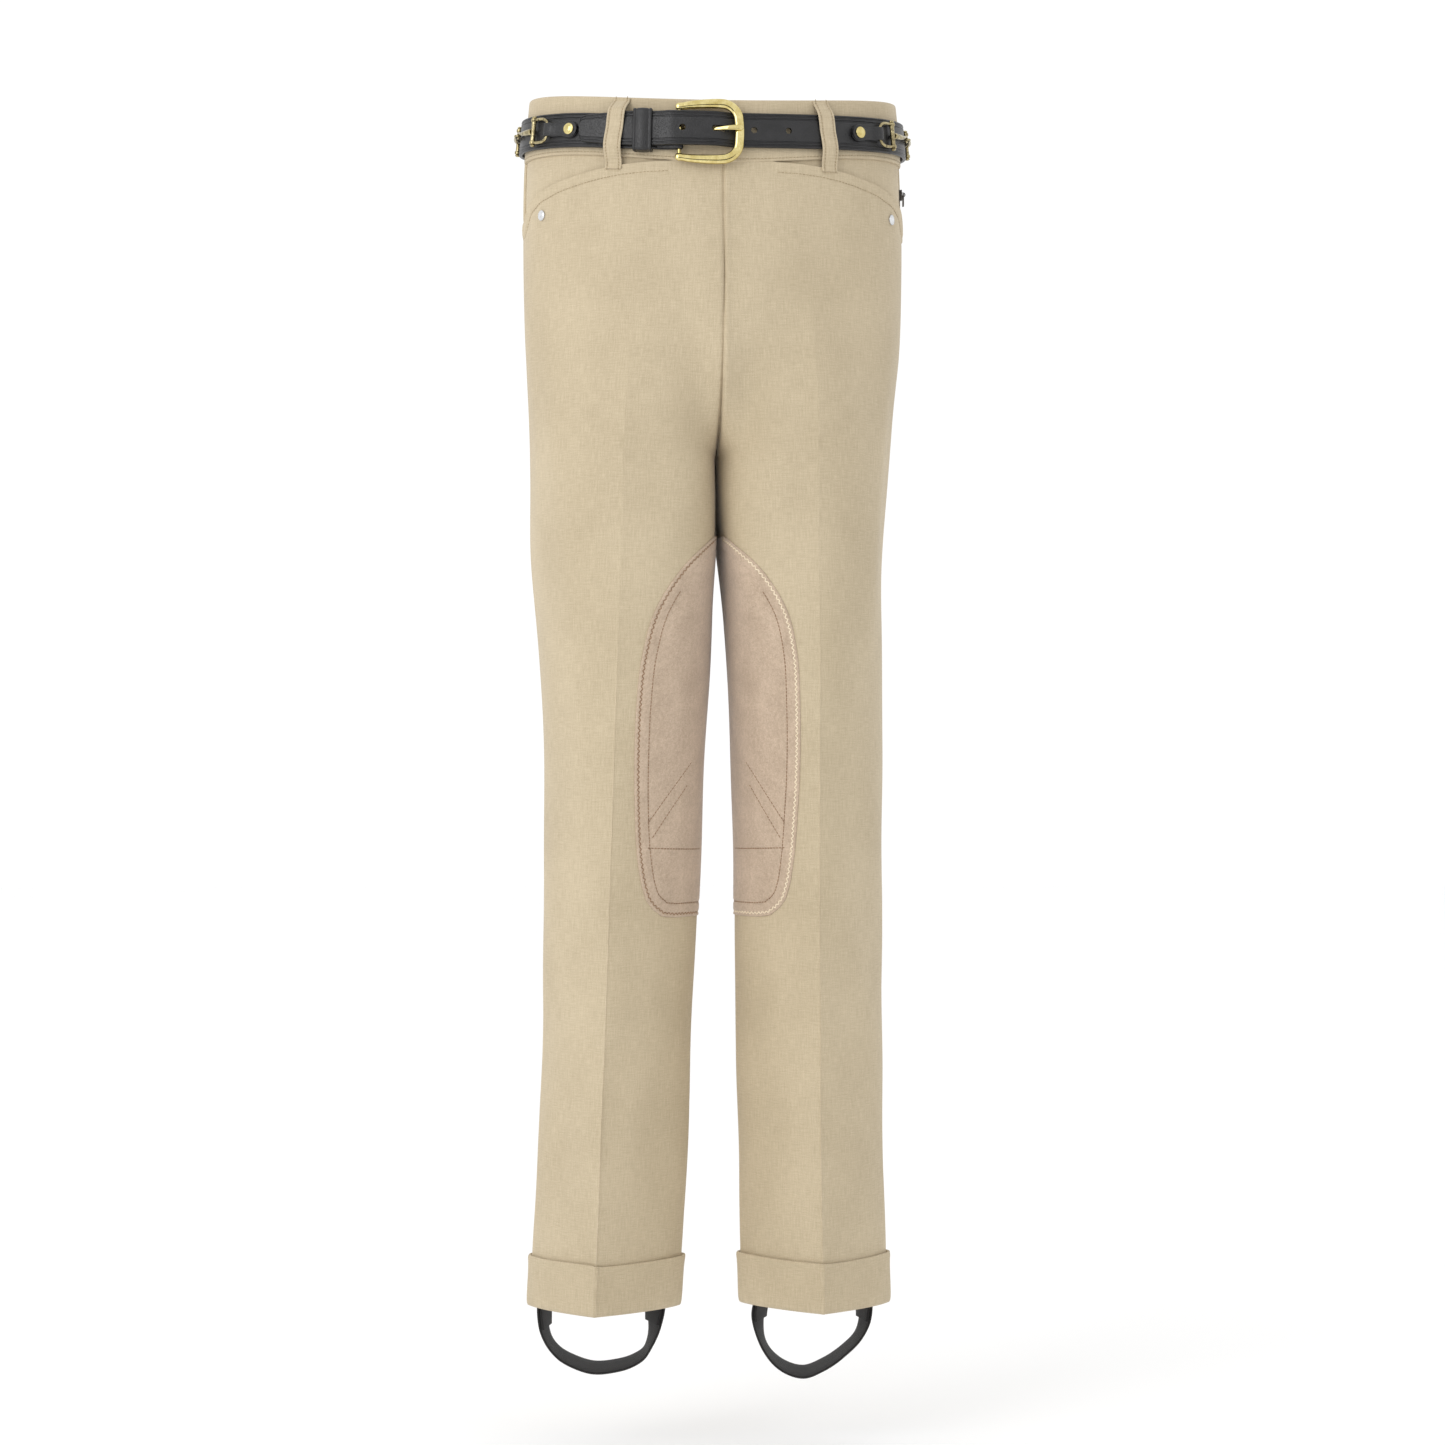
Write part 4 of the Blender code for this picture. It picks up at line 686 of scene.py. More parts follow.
def make_row_tree():
    """Geometry nodes that set a form along every path of a mesh, evenly spaced, facing outwards."""
    tree = bpy.data.node_groups.new("form_row", "GeometryNodeTree")
    tree.interface.new_socket("Geometry", in_out="INPUT", socket_type="NodeSocketGeometry")
    for name, kind in (
        ("Form", "Object"), ("Pitch", "Float"), ("Length", "Float"), ("Width", "Float"),
        ("Height", "Float"), ("Swing", "Float"), ("Unevenness", "Float"), ("Finish", "Material"),
    ):
        tree.interface.new_socket(name, in_out="INPUT", socket_type=f"NodeSocket{kind}")
    tree.interface.new_socket("Geometry", in_out="OUTPUT", socket_type="NodeSocketGeometry")
    given = tree.nodes.new("NodeGroupInput")

    def node(kind, settings=None, sockets=None):
        made = tree.nodes.new(kind)
        for key, value in (settings or {}).items():
            setattr(made, key, value)
        for key, value in (sockets or {}).items():
            if isinstance(value, bpy.types.NodeSocket):
                tree.links.new(value, made.inputs[key])
            else:
                made.inputs[key].default_value = value
        return made.outputs[0]

    def number(operation, first, second=0.0):
        return node("ShaderNodeMath", {"operation": operation}, {0: first, 1: second})

    path = node("GeometryNodeMeshToCurve", None, {"Mesh": given.outputs["Geometry"]})
    spaced = node(
        "GeometryNodeResampleCurve", {"mode": "LENGTH"},
        {"Curve": path, "Length": given.outputs["Pitch"]},
    )
    out = node("GeometryNodeInputNamedAttribute", {"data_type": "FLOAT_VECTOR"}, {"Name": "out"})
    along = node("GeometryNodeInputTangent")
    facing = node(
        "FunctionNodeAxesToRotation", {"primary_axis": "Z", "secondary_axis": "X"},
        {"Primary Axis": out, "Secondary Axis": along},
    )
    other_way = number("SUBTRACT", number("MODULO", node("GeometryNodeInputIndex"), 2.0), 0.5)
    chance = tree.nodes.new("FunctionNodeRandomValue")
    chance.data_type = "FLOAT"
    chance.inputs[2].default_value = -1.0
    chance.inputs[3].default_value = 1.0
    chance.inputs["Seed"].default_value = 5
    wobble = number("MULTIPLY", chance.outputs[1], given.outputs["Unevenness"])
    angle = number("ADD", number("MULTIPLY", other_way, given.outputs["Swing"]), wobble)
    swing = node("FunctionNodeEulerToRotation", None, {0: node("ShaderNodeCombineXYZ", None, {2: angle})})
    rotation = node(
        "FunctionNodeRotateRotation", {"rotation_space": "LOCAL"}, {0: facing, 1: swing}
    )
    size = node("ShaderNodeCombineXYZ", None, {
        0: given.outputs["Length"], 1: given.outputs["Width"], 2: given.outputs["Height"],
    })
    form = tree.nodes.new("GeometryNodeObjectInfo")
    tree.links.new(given.outputs["Form"], form.inputs["Object"])
    placed = node("GeometryNodeInstanceOnPoints", None, {
        "Points": spaced, "Instance": form.outputs["Geometry"], "Rotation": rotation, "Scale": size,
    })
    real = node("GeometryNodeRealizeInstances", None, {"Geometry": placed})
    painted = node(
        "GeometryNodeSetMaterial", None, {"Geometry": real, "Material": given.outputs["Finish"]}
    )
    tree.links.new(painted, tree.nodes.new("NodeGroupOutput").inputs[0])
    return tree


row_tree = make_row_tree()


def set_row(name, rows, form, material, pitch, length, width, height, swing=0.0, unevenness=0.06):
    """Sets a form along rows of (points, outward directions); sizes are in millimetres."""
    points, outs, edges = [], [], []
    for row, out in rows:
        start = len(points)
        points += list(np.asarray(row) * MM)
        outs += list(np.broadcast_to(out, np.shape(row)))
        edges += [(start + k, start + k + 1) for k in range(len(row) - 1)]
    mesh = bpy.data.meshes.new(name)
    mesh.from_pydata(points, edges, [])
    mesh.attributes.new("out", "FLOAT_VECTOR", "POINT").data.foreach_set("vector", np.ravel(outs))
    made = bpy.data.objects.new(name, mesh)
    bpy.context.scene.collection.objects.link(made)
    change = made.modifiers.new("row", "NODES")
    change.node_group = row_tree
    values = {
        "Form": form, "Pitch": pitch * MM, "Length": length * MM, "Width": width * MM,
        "Height": height * MM, "Swing": swing, "Unevenness": unevenness, "Finish": material,
    }
    for socket in row_tree.interface.items_tree:
        if socket.in_out == "INPUT" and socket.name in values:
            change[socket.identifier] = values[socket.name]
    return plain_mesh(made)


def plain_mesh(made):
    """Turns what an object's modifiers make into its own mesh."""
    graph = bpy.context.evaluated_depsgraph_get()
    made.data = bpy.data.meshes.new_from_object(made.evaluated_get(graph), depsgraph=graph)
    made.modifiers.clear()
    return made


def thread_material(name, dark, light):
    made, shader, _, solid = new_material(name, {"Roughness": 0.6, "Sheen Weight": 0.1})
    twist = solid.noise((0.5, 0.5, 0.5), 1.0)
    link(shader, "Base Color", twist.step(0.3, 0.7).between(dark, light))
    rough_up(shader, twist, 0.1, 0.5)
    return made


tan_thread = thread_material("tan_thread", seen(134, 116, 88), seen(184, 166, 134))


def sew(name, rows, material=tan_thread, swing=0.0, length=STITCH_LENGTH, pitch=STITCH_PITCH,
        width=STITCH_WIDTH):
    made = set_row(name, rows, thread_form, material, pitch, length, width, 0.5, swing)
    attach(made, "root")
    return made


def on_cloth(leg, path, half=-1, lift=0.1):
    """Points and outward directions of a path of (length from the inner seam, height)."""
    u = np.array([place_at(half, length, z) for length, z in path])
    z = np.array(path)[:, 1]
    w = u if half < 0 else 2 - u
    points = cloth(leg, w, z, lift)
    return points, cloth(leg, w, z, lift + 1.0) - points


yoke_length = np.linspace(YOKE_START, WAIST_LENGTH[-1], 44)
yoke_u = np.interp(yoke_length, WAIST_LENGTH, LENGTH_U)
yoke_x = half_section(-1, yoke_u, WAIST_ROW_Z)[:, 0]
yoke_top = band_height(BAND_SEAM, yoke_u, -1, BAND_SEAM_POWER)
yoke_share = np.linspace(0, 1, 22)[:, None]
yoke_z = yoke_top + (pocket_height(yoke_x) - YOKE_UNDERLAP - yoke_top) * yoke_share
yoke_w = np.broadcast_to(yoke_u, yoke_z.shape)
yoke_flat = np.stack([np.broadcast_to(yoke_length, yoke_z.shape), yoke_z], axis=-1)


def yoke_face(leg, sink):
    seam = SEAM_SINK * np.exp(-((around(yoke_w, yoke_z)[..., 1] / SEAM_HALF_WIDTH) ** 2))
    rise = folded(leg, yoke_w, yoke_z) - seam - sink
    points = around(yoke_w, yoke_z) + rise[..., None] * outward(yoke_w, yoke_z)
    return open_zip(points, -1) if leg == "left" else points * (-1, 1, 1)


for leg in LEGS:
    yoke = shell(
        f"pocket_yoke_{leg}", yoke_face(leg, YOKE_SINK), yoke_face(leg, YOKE_SINK + CLOTH), yoke_flat, twill
    )
    stand_in(yoke, f"hip_yoke_{leg}")
    sew(f"pocket_stitches_{leg}", [on_cloth(leg, pocket_path(POCKET_HEM)[1:], lift=0.05)])

# Waistband: one shaped, doubled strip of the twill round the top, open where the zip ends at the
# wearer's left, joined to the panels by a seam with a row of topstitching just above it.
BAND_STAND = 0.6
BAND_STITCH_UP = 2.2
BELT_MIDDLE = (-11.5, -5.0, 5.0)
BAND_OPENING = 0.006


def waist_point(theta, z):
    """A point on the body at an angle round the waist, 0 in front and rising to the left."""
    size = section(z)
    depth = np.where(np.cos(theta) > 0, size["front_y"], -size["back_y"])
    return np.stack([size["side_x"] * np.sin(theta), depth * np.cos(theta), z + 0 * theta], axis=-1)


def waist_normal(theta, z):
    along = waist_point(theta + 0.01, z) - waist_point(theta - 0.01, z)
    up = waist_point(theta, z + 0.5) - waist_point(theta, z - 0.5)
    normal = np.cross(along, up)
    return normal / np.linalg.norm(normal, axis=-1, keepdims=True)


def line_height(edge, theta, power=PLAIN_POWER):
    front, side, back = edge
    toward = np.where(np.cos(theta) > 0, front - side, back - side)
    return side + toward * np.abs(np.cos(theta)) ** power


def band_ring(theta):
    """Section of the band at an angle, as points from its foot up outside and down inside."""
    foot = float(line_height(BAND_SEAM, theta, BAND_SEAM_POWER))
    top = float(line_height(BAND_TOP, theta))
    groove = foot + BAND_STITCH_UP
    swell = 0.35 * math.sin(5 * theta + 1) + 0.2 * math.sin(11 * theta)
    outline = [(foot - 0.1, -0.5), (foot, 0.15), (foot + 0.5, 0.5), (foot + 1.2, BAND_STAND)]
    outline += [(groove - 0.5, 0.55), (groove, 0.35), (groove + 0.5, 0.55)]
    for share in np.linspace(0.16, 0.94, 12):
        puff = swell * math.sin(math.pi * share)
        outline.append((foot + (top - foot) * share, BAND_STAND + puff))
    outline += [(top - 0.9, 0.45), (top - 0.3, 0.05), (top, -0.6), (top - 0.3, -1.3), (top - 1.2, -1.75)]
    outline += [((foot + top) / 2, -1.8), (foot + 1.0, -1.8), (foot, -1.6)]
    z = np.array([o[0] for o in outline])
    angle = np.full_like(z, theta)
    return waist_point(angle, z) + np.array([o[1] for o in outline])[:, None] * waist_normal(angle, z)


band_angles = np.linspace(math.pi / 2 - BAND_OPENING, -1.5 * math.pi + BAND_OPENING, 300)
band = loft("waist_band_cloth", [band_ring(t) for t in band_angles], twill)
stand_in(band, "waistband")
stitch_z = line_height(BAND_SEAM, band_angles, BAND_SEAM_POWER) + BAND_STITCH_UP
band_out = waist_normal(band_angles, stitch_z)
sew("waist_stitches", [(waist_point(band_angles, stitch_z) + 0.42 * band_out, band_out)])

# Knee patches: brushed suede on the inner knee and lower thigh, laid over the inseam and sewn down
# all round with an overlocked edge, a second row inside it and quilting lines by the knee.
PATCH_EDGE = (
    (-302, 3.2), (-325, 26.0), (-355, 46.0), (-390, 55.8), (-425, 59.2), (-465, 60.3),
    (-505, 59.4), (-545, 56.6), (-562, 53.6), (-573, 49.4), (-580, 42.5), (-583.3, 36.0), (-584, 31.0),
)
SUEDE = 1.0
EDGE_ROW_IN = 2.7
INNER_ROW_IN = 10.3
PATCH_ROWS = 150
PATCH_COLUMNS = 64
# Quilting lines as (distance from the middle plane, height) at both ends
QUILTING = (
    ((49.5, -512.5), (21.0, -470.0)), ((46.5, -523.5), (24.0, -487.0)), ((49.5, -532.0), (14.0, -534.0)),
)


PATCH_TOP_Z = -302.0
PATCH_FOOT_Z = -584.0
INNER_ROW_TOP_Z = -343.0


def patch_reach(z):
    """Distance of the patch's edge from the middle plane, at a height."""
    edge = np.array(PATCH_EDGE, float)[::-1]
    return smooth_through(z, edge[:, 0], edge[:, 1])


def length_of_reach(half, reach, z):
    """Length along the cloth from the inseam to a distance from the middle plane."""
    x = half_section(half, LENGTH_U, z)[:, 0]
    u = np.interp(reach, x, LENGTH_U)
    return float(np.interp(u, LENGTH_U, lengths_at(half, z)))


def patch_outline(half, inset=0.0):
    """Edge of the patch on the flat cloth, from its top down one side to its foot at the inseam."""
    runs = ((PATCH_TOP_Z, -330, 12), (-336, -570, 50), (-572, PATCH_FOOT_Z, 10))
    z = np.concatenate([np.linspace(*run) for run in runs])
    path = [(length_of_reach(half, patch_reach(h), h), h) for h in z]
    path = np.array(path + [(path[-1][0] * t, PATCH_FOOT_Z) for t in (0.8, 0.6, 0.4, 0.2, 0.0)])
    run = np.gradient(path, axis=0)
    run /= np.linalg.norm(run, axis=1, keepdims=True)
    moved = path + inset * np.stack([run[:, 1], -run[:, 0]], axis=1)
    return moved[moved[:, 0] > 0.5] if inset else moved


def quilt_lines(half):
    lines = []
    for ends in QUILTING if half < 0 else QUILTING[2:]:
        z = np.linspace(ends[0][1], ends[1][1], 14)
        reach = np.linspace(ends[0][0], ends[1][0], 14)
        lines.append(np.array([(length_of_reach(half, x, h), h) for x, h in zip(reach, z)]))
    return lines


OUTLINES = {half: patch_outline(half) for half in (-1, 1)}
QUILTED = {half: quilt_lines(half) for half in (-1, 1)}


def patch_rise(half, flat):
    """Height of the suede above the cloth: rounded at its edge, drawn in by each row of stitches."""
    from_edge = distance_to(OUTLINES[half], flat)
    rise = 0.25 + (SUEDE + 0.1) * np.sqrt(1 - (1 - np.clip(from_edge / 1.6, 0, 1)) ** 2)
    rise -= 0.55 * np.exp(-(((from_edge - EDGE_ROW_IN) / 1.3) ** 2))
    rise -= 0.5 * np.exp(-(((from_edge - INNER_ROW_IN) / 1.3) ** 2))
    for line in QUILTED[half]:
        rise -= 0.5 * np.exp(-((distance_to(line, flat) / 1.3) ** 2))
    return rise


SUEDE_DARK = seen(168, 148, 127)
SUEDE_LIGHT = seen(205, 184, 162)
suede, suede_shader, suede_flat, _ = new_material(
    "brushed_suede", {"Roughness": 0.95, "Sheen Weight": 0.35, "Sheen Roughness": 0.6,
                      "Specular IOR Level": 0.15},
)
nap = suede_flat.noise((1.1, 1.1, 1.0), 3.0, 2.0)
brushed = suede_flat.noise((14.0, 20.0, 1.0), 3.0, 8.0)
fleck = suede_flat.noise((2.6, 3.2, 1.0), 2.0, 23.0)
suede_tone = nap * 0.5 + brushed * 0.35 + fleck * 0.35 - 0.1
link(suede_shader, "Base Color", suede_tone.step(0.25, 0.8).between(SUEDE_DARK, SUEDE_LIGHT))
rough_up(suede_shader, nap * 0.8 + fleck * 0.2, 0.3, 0.8)
suede_thread = thread_material("suede_thread", seen(112, 84, 60), seen(164, 134, 104))
# Painted light: a pale, lit copy of the patch's edge thread, used only on the left leg's patch, which faces
# the key light
lit_copy_thread = thread_material("lit_copy_thread", seen(214, 196, 164), seen(244, 232, 208))

patch_spread = np.sin(np.linspace(-math.pi / 2, math.pi / 2, PATCH_COLUMNS))
patch_z = np.interp(denser_ends(PATCH_ROWS, 0.75), (0, 1), (PATCH_TOP_Z, PATCH_FOOT_Z))
patch_w, patch_lift, patch_flat = [], [], []
for z in patch_z:
    ends = {half: length_of_reach(half, float(patch_reach(z)), z) for half in (-1, 1)}
    row_w, row_lift, row_flat = [], [], []
    for half, share in ((-1, patch_spread[patch_spread <= 0]), (1, patch_spread[patch_spread > 0])):
        length = np.abs(share) * ends[half]
        u = place_at(half, length, z)
        flat = np.stack([length, np.full_like(length, z)], axis=1)
        row_w.append(u if half < 0 else -u)
        row_lift.append(patch_rise(half, flat))
        row_flat.append(flat * (-half, 1))
    patch_w.append(np.concatenate(row_w))
    patch_lift.append(np.concatenate(row_lift))
    patch_flat.append(np.concatenate(row_flat))
patch_w, patch_lift, patch_flat = np.array(patch_w), np.array(patch_lift), np.array(patch_flat)
patch_height = np.broadcast_to(patch_z[:, None], patch_w.shape)

for leg in LEGS:
    patch = shell(
        f"suede_patch_{leg}", cloth(leg, patch_w, patch_height, patch_lift),
        cloth(leg, patch_w, patch_height, 0.05), patch_flat, suede,
    )
    stand_in(patch, f"knee_patch_{leg}")
    edge_rows = [on_cloth(leg, patch_outline(half, EDGE_ROW_IN), half, 0.95) for half in (-1, 1)]
    inner_rows = []
    for half in (-1, 1):
        inner = patch_outline(half, INNER_ROW_IN)
        inner_rows.append(on_cloth(leg, inner[inner[:, 1] < INNER_ROW_TOP_Z], half, 1.15))
        inner_rows += [on_cloth(leg, line, half, 1.15) for line in QUILTED[half]]
    # Painted light: the edge threads are lit and shaded copies of one thread, pale on the left patch, which
    # faces the key light, and the darker suede thread on the right patch, which faces away from it
    edge_thread_by_light = lit_copy_thread if leg == "left" else suede_thread
    sew(f"patch_edge_stitches_{leg}", edge_rows, edge_thread_by_light, swing=1.5, length=3.4, pitch=1.9, width=0.9)
    sew(f"patch_inner_stitches_{leg}", inner_rows, suede_thread)

# Cuffs: the foot of each leg turned up outside, pressed, and caught at the seams. The cloth goes
# once round the leg with a rolled top edge and a fold at the foot.
CUFF_SECTION = (
    (-874.7, 0.7), (-874.2, 0.3), (-870.0, 0.35), (-855.0, 0.5), (-842.0, 0.5), (-838.6, 0.55),
    (-837.9, 0.9), (-837.6, 1.5), (-837.8, 2.1), (-838.5, 2.5), (-840.0, 2.65), (-843.0, 2.4),
    (-848.0, 2.3), (-854.0, 2.5), (-861.0, 2.8), (-867.0, 2.9), (-871.0, 2.75), (-873.4, 2.4),
    (-874.7, 1.8), (-875.0, 1.2),
)


def cuff_ring(leg, w):
    section_points = np.array(CUFF_SECTION)
    z, lift = section_points[:, 0], section_points[:, 1]
    phase = 0.7 if leg == "left" else 2.9
    wave = math.sin(2 * math.pi * w + phase) + 0.6 * math.sin(4.3 * math.pi * w + 2 * phase)
    top = smooth_step((z + 868) / 28)
    lift = lift + top * (0.35 + 0.3 * wave) * (0.4 + 0.6 * (lift > 1.2))
    return cloth(leg, np.full_like(z, w), z + 0.5 * top * wave, lift)


cuff_places = np.concatenate([k / 2 + denser_ends(30, 0.8)[:-1] / 2 for k in range(4)])
for leg in LEGS:
    cuff = loft(f"turned_up_cuff_{leg}", [cuff_ring(leg, w) for w in cuff_places], twill, loop=True)
    stand_in(cuff, f"cuff_{leg}")

# Belt loops: narrow strips of folded twill, edge-stitched down both sides, caught under the band's
# top edge and just below the waist seam. Two in front, two behind and one at the back middle.
BELT_STAND = 1.6
STRAP_LEATHER = 2.8
SEAM_GAP = 0.33
LOOP_CLOTH = 1.5
LOOP_WIDTH = 12.5
LOOP_SLANT = 0.10
LOOP_STITCH_IN = 1.9
FRONT_LOOP_A = 77.0
BACK_LOOP_A = 262.0
TURN = np.linspace(-math.pi, math.pi, 1441)
TURN_POINTS = waist_point(TURN, line_height(BELT_MIDDLE, TURN))
TURN_LENGTH = np.concatenate([[0], np.cumsum(np.linalg.norm(np.diff(TURN_POINTS, axis=0), axis=1))])
GIRTH = float(TURN_LENGTH[-1])


def on_belt(place):
    """World point of (a, v, h): along the waist, up from the belt's middle, out from the band."""
    place = np.asarray(place, float)
    a = (place[..., 0] + GIRTH / 2) % GIRTH - GIRTH / 2
    theta = np.interp(a, TURN_LENGTH - GIRTH / 2, TURN)
    z = line_height(BELT_MIDDLE, theta) + place[..., 1]
    stand = (BAND_STAND + place[..., 2])[..., None]
    return waist_point(theta, z) + stand * waist_normal(theta, z)


def belt_face(places):
    """Outward direction of the waist at each place on the belt."""
    places = np.asarray(places, float)
    return on_belt(places + (0, 0, 1)) - on_belt(places)


def smooth_path(points, step, places=2):
    """Short steps along a smooth curve through points; columns past the places ride along."""
    points = np.asarray(points, float)
    run = np.linalg.norm(np.diff(points[:, :places], axis=0), axis=1)
    knots = np.concatenate([[0], np.cumsum(run)])
    counts = np.maximum(np.ceil(run / step - 0.01), 1).astype(int)
    at = [np.linspace(knots[i], knots[i + 1], n, endpoint=False) for i, n in enumerate(counts)]
    at = np.concatenate(at + [knots[-1:]])
    return np.stack([smooth_through(at, knots, column) for column in points.T], axis=1)


def strip_outline(half, thick, edge=0.9, grooves=(), depth=0.0, middle=3):
    """Section of a flat strip as (across, out): round edges and, outside, pressed grooves."""
    bend = np.radians(np.linspace(-68, 68, 5))
    right = np.stack([half - edge + edge * np.cos(bend), thick / 2 * np.sin(bend)], axis=1)
    top = [(half - edge, thick / 2)]
    for inset in grooves:
        for off, sunk in ((-0.75, 0), (-0.3, 1), (0.3, 1), (0.75, 0)):
            top.append((half - inset - off, thick / 2 - sunk * depth))
    top = sorted(top, reverse=True)
    span = np.linspace(1, -1, middle + 2)[1:-1] * (top[-1][0] if grooves else half * 0.7)
    across_top = top + [(x, thick / 2) for x in span] + [(-x, y) for x, y in top[::-1]]
    left = np.stack([-right[::-1, 0], right[::-1, 1]], axis=1)
    under = [(x, -thick / 2) for x in (edge - half, -half / 3, half / 3, half - edge)]
    return np.concatenate([right, np.array(across_top), left, np.array(under)])


def strip_rings(path, outline):
    """Rings of (along, out, across) for a strip that follows a path of (along, out, thickness share,
    width share) in the plane seen from its edge."""
    steps = np.gradient(path[:, :2], axis=0)
    steps /= np.linalg.norm(steps, axis=1, keepdims=True)
    sideways = np.stack([-steps[:, 1], steps[:, 0]], axis=1)
    rings = []
    for (along, out, thick, wide), side in zip(path, sideways):
        across, lift = outline[:, 0] * wide, outline[:, 1] * thick
        rings.append(np.stack([along + side[0] * lift, out + side[1] * lift, across], axis=1))
    return np.array(rings)


def loop_place(a, slant, up, out, across):
    return np.stack([a + across - slant * up, up, out], axis=-1)


belt_loops = (
    ("front_left", FRONT_LOOP_A, 1), ("front_right", -FRONT_LOOP_A, 2),
    ("back_left", BACK_LOOP_A, 1), ("back_right", -BACK_LOOP_A, 1), ("back_middle", GIRTH / 2, 1),
)
for name, a, layers in belt_loops:
    sewn = SEAM_GAP + LOOP_CLOTH / 2
    over = BELT_STAND + layers * STRAP_LEATHER + layers * SEAM_GAP + LOOP_CLOTH / 2 + 0.1
    climb = over - sewn
    route = [
        (-28.5, sewn - 0.1), (-25.0, sewn), (-19.5, sewn + 0.45 * climb), (-13.8, over), (0, over + 0.1),
        (13.8, over), (18.2, sewn + 0.42 * climb), (21.4, sewn), (23.6, sewn),
    ]
    path = smooth_path([(up, out, 1.0, 1.0) for up, out in route], 1.1)
    outline = strip_outline(LOOP_WIDTH / 2, LOOP_CLOTH, 0.7, (LOOP_STITCH_IN,), 0.25)
    rings = strip_rings(path, outline)
    slant = 0.0 if name == "back_middle" else LOOP_SLANT * math.copysign(1, a)
    place = loop_place(a, slant, rings[..., 0], rings[..., 1], rings[..., 2])
    made = loft(f"twill_loop_{name}", on_belt(place), twill)
    stand_in(made, f"belt_loop_{name}")
    rows = []
    for edge in (-1, 1):
        across = np.full(len(path), edge * (LOOP_WIDTH / 2 - LOOP_STITCH_IN))
        place = loop_place(a, slant, path[:, 0], path[:, 1] + LOOP_CLOTH / 2 - 0.1, across)
        rows.append((on_belt(place), belt_face(place)))
    sew(f"loop_stitches_{name}", rows, pitch=2.3, length=2.0)

# Belt: a plain one inch strap of black bridle leather, grooved along both edges. It is folded round
# the buckle's heel bar, goes once round the waist and over the bar, and its tip is held by a keeper.
BELT_HALF = 12.7
THIN_LEATHER = 1.3
THIN_SHARE = THIN_LEATHER / STRAP_LEATHER
HEEL_BAR = (-31.5, 4.5)
HEEL_BAR_RADIUS = 1.3
HOLE_PITCH = 25.4
USED_HOLE_A = -3.5
HOLE_RADIUS = 2.3
GROOVES_IN = (2.0, 4.3)
# The buckle hangs a little lower than the strap's tip and draws the folded end down with it
BUCKLE_DROP = 2.0
DROP_START_A = -120.0
DROP_FULL_A = -50.0
KEEPER_SPAN = (-64.0, -50.5)


def arc(centre, radius, first, last, count):
    turn = np.radians(np.linspace(first, last, count))
    return [(centre[0] + radius * math.cos(t), centre[1] + radius * math.sin(t)) for t in turn]


def along_belt(rings, mirror=1, start=0.0, fall=0.0):
    """Turns strip corners (along, out, across) into world points on the belt."""
    across = rings[..., 2] - np.reshape(fall, (-1, 1))
    return on_belt(np.stack([start + mirror * rings[..., 0], across, rings[..., 1]], axis=-1))


GRAIN_SIZE = 0.9


def leather_material(name):
    """Black bridle leather: close grain, a waxed face and paler rubbed spots."""
    made, shader, _, solid = new_material(
        name, {"Specular IOR Level": 0.5, "Coat Roughness": 0.35, "Coat Weight": 0.12},
    )
    sockets = {"Vector": solid.stretched((GRAIN_SIZE,) * 3), "Scale": 1.0}
    crackle = solid.node("ShaderNodeTexVoronoi", None, sockets)
    fine = solid.noise((0.5, 0.5, 0.5), 2.0)
    rubbed = solid.noise((9.0, 9.0, 9.0), 3.0, 4.0)
    link(shader, "Base Color", (rubbed * 0.7 + fine * 0.3).step(0.3, 0.75).between(
        seen(10, 10, 12), seen(30, 29, 31)))
    link(shader, "Roughness", rubbed * 0.16 + fine * 0.1 + 0.24)
    rough_up(shader, crackle.step(0.0, 0.6) * 0.6 + fine * 0.4, 0.3, 0.9)
    return made


black_leather = leather_material("black_bridle_leather")


def belt_route():
    """(along, out, thickness share, width share) from the folded end, once round, to the tip."""
    thin_middle = BELT_STAND + THIN_LEATHER / 2
    fold = HEEL_BAR_RADIUS + SEAM_GAP + THIN_LEATHER / 2
    rows = [(-46.8, thin_middle + THIN_LEATHER + SEAM_GAP, THIN_SHARE, 0.93)]
    rows += [(-41.0, 4.4, THIN_SHARE, 0.97), (-35.6, 6.35, THIN_SHARE, 1.0)]
    rows += [(a, h, THIN_SHARE, 1.0) for a, h in arc(HEEL_BAR, fold, 90, -90, 9)]
    rows += [(-36.0, thin_middle, THIN_SHARE, 1.0), (-46.6, thin_middle, THIN_SHARE, 1.0)]
    middle = BELT_STAND + STRAP_LEATHER / 2
    rows += [(a, middle, 1.0, 1.0) for a in np.linspace(-49.0, 22.0 - GIRTH, 50)]
    over = HEEL_BAR[1] + fold + THIN_LEATHER / 2 + SEAM_GAP
    rise = (
        (13.0, 1.6, 1.0), (7.0, 1.7, 1.0), (3.0, 2.9, 1.0), (-1.0, 4.6, 1.0), (-3.5, 5.5, 1.0),
        (-9.0, 6.6, 1.0), (-16.0, 7.1, 1.0), (-24.0, 7.5, 1.0), (-31.5, over, 1.0),
        (-37.0, over - 0.1, 1.0), (-43.0, 6.0, 1.0), (-49.0, 4.85, 1.0), (-66.0, 4.75, 1.0),
        (-75.0, 4.75, 0.96), (-86.0, 4.75, 0.89), (-95.0, 4.75, 0.82), (-100.4, 4.75, 0.765),
        (-102.4, 4.75, 0.69), (-103.5, 4.75, 0.58), (-104.0, 4.75, 0.42),
    )
    return np.array(rows + [(a - GIRTH, out + STRAP_LEATHER / 2, 1.0, wide) for a, out, wide in rise])


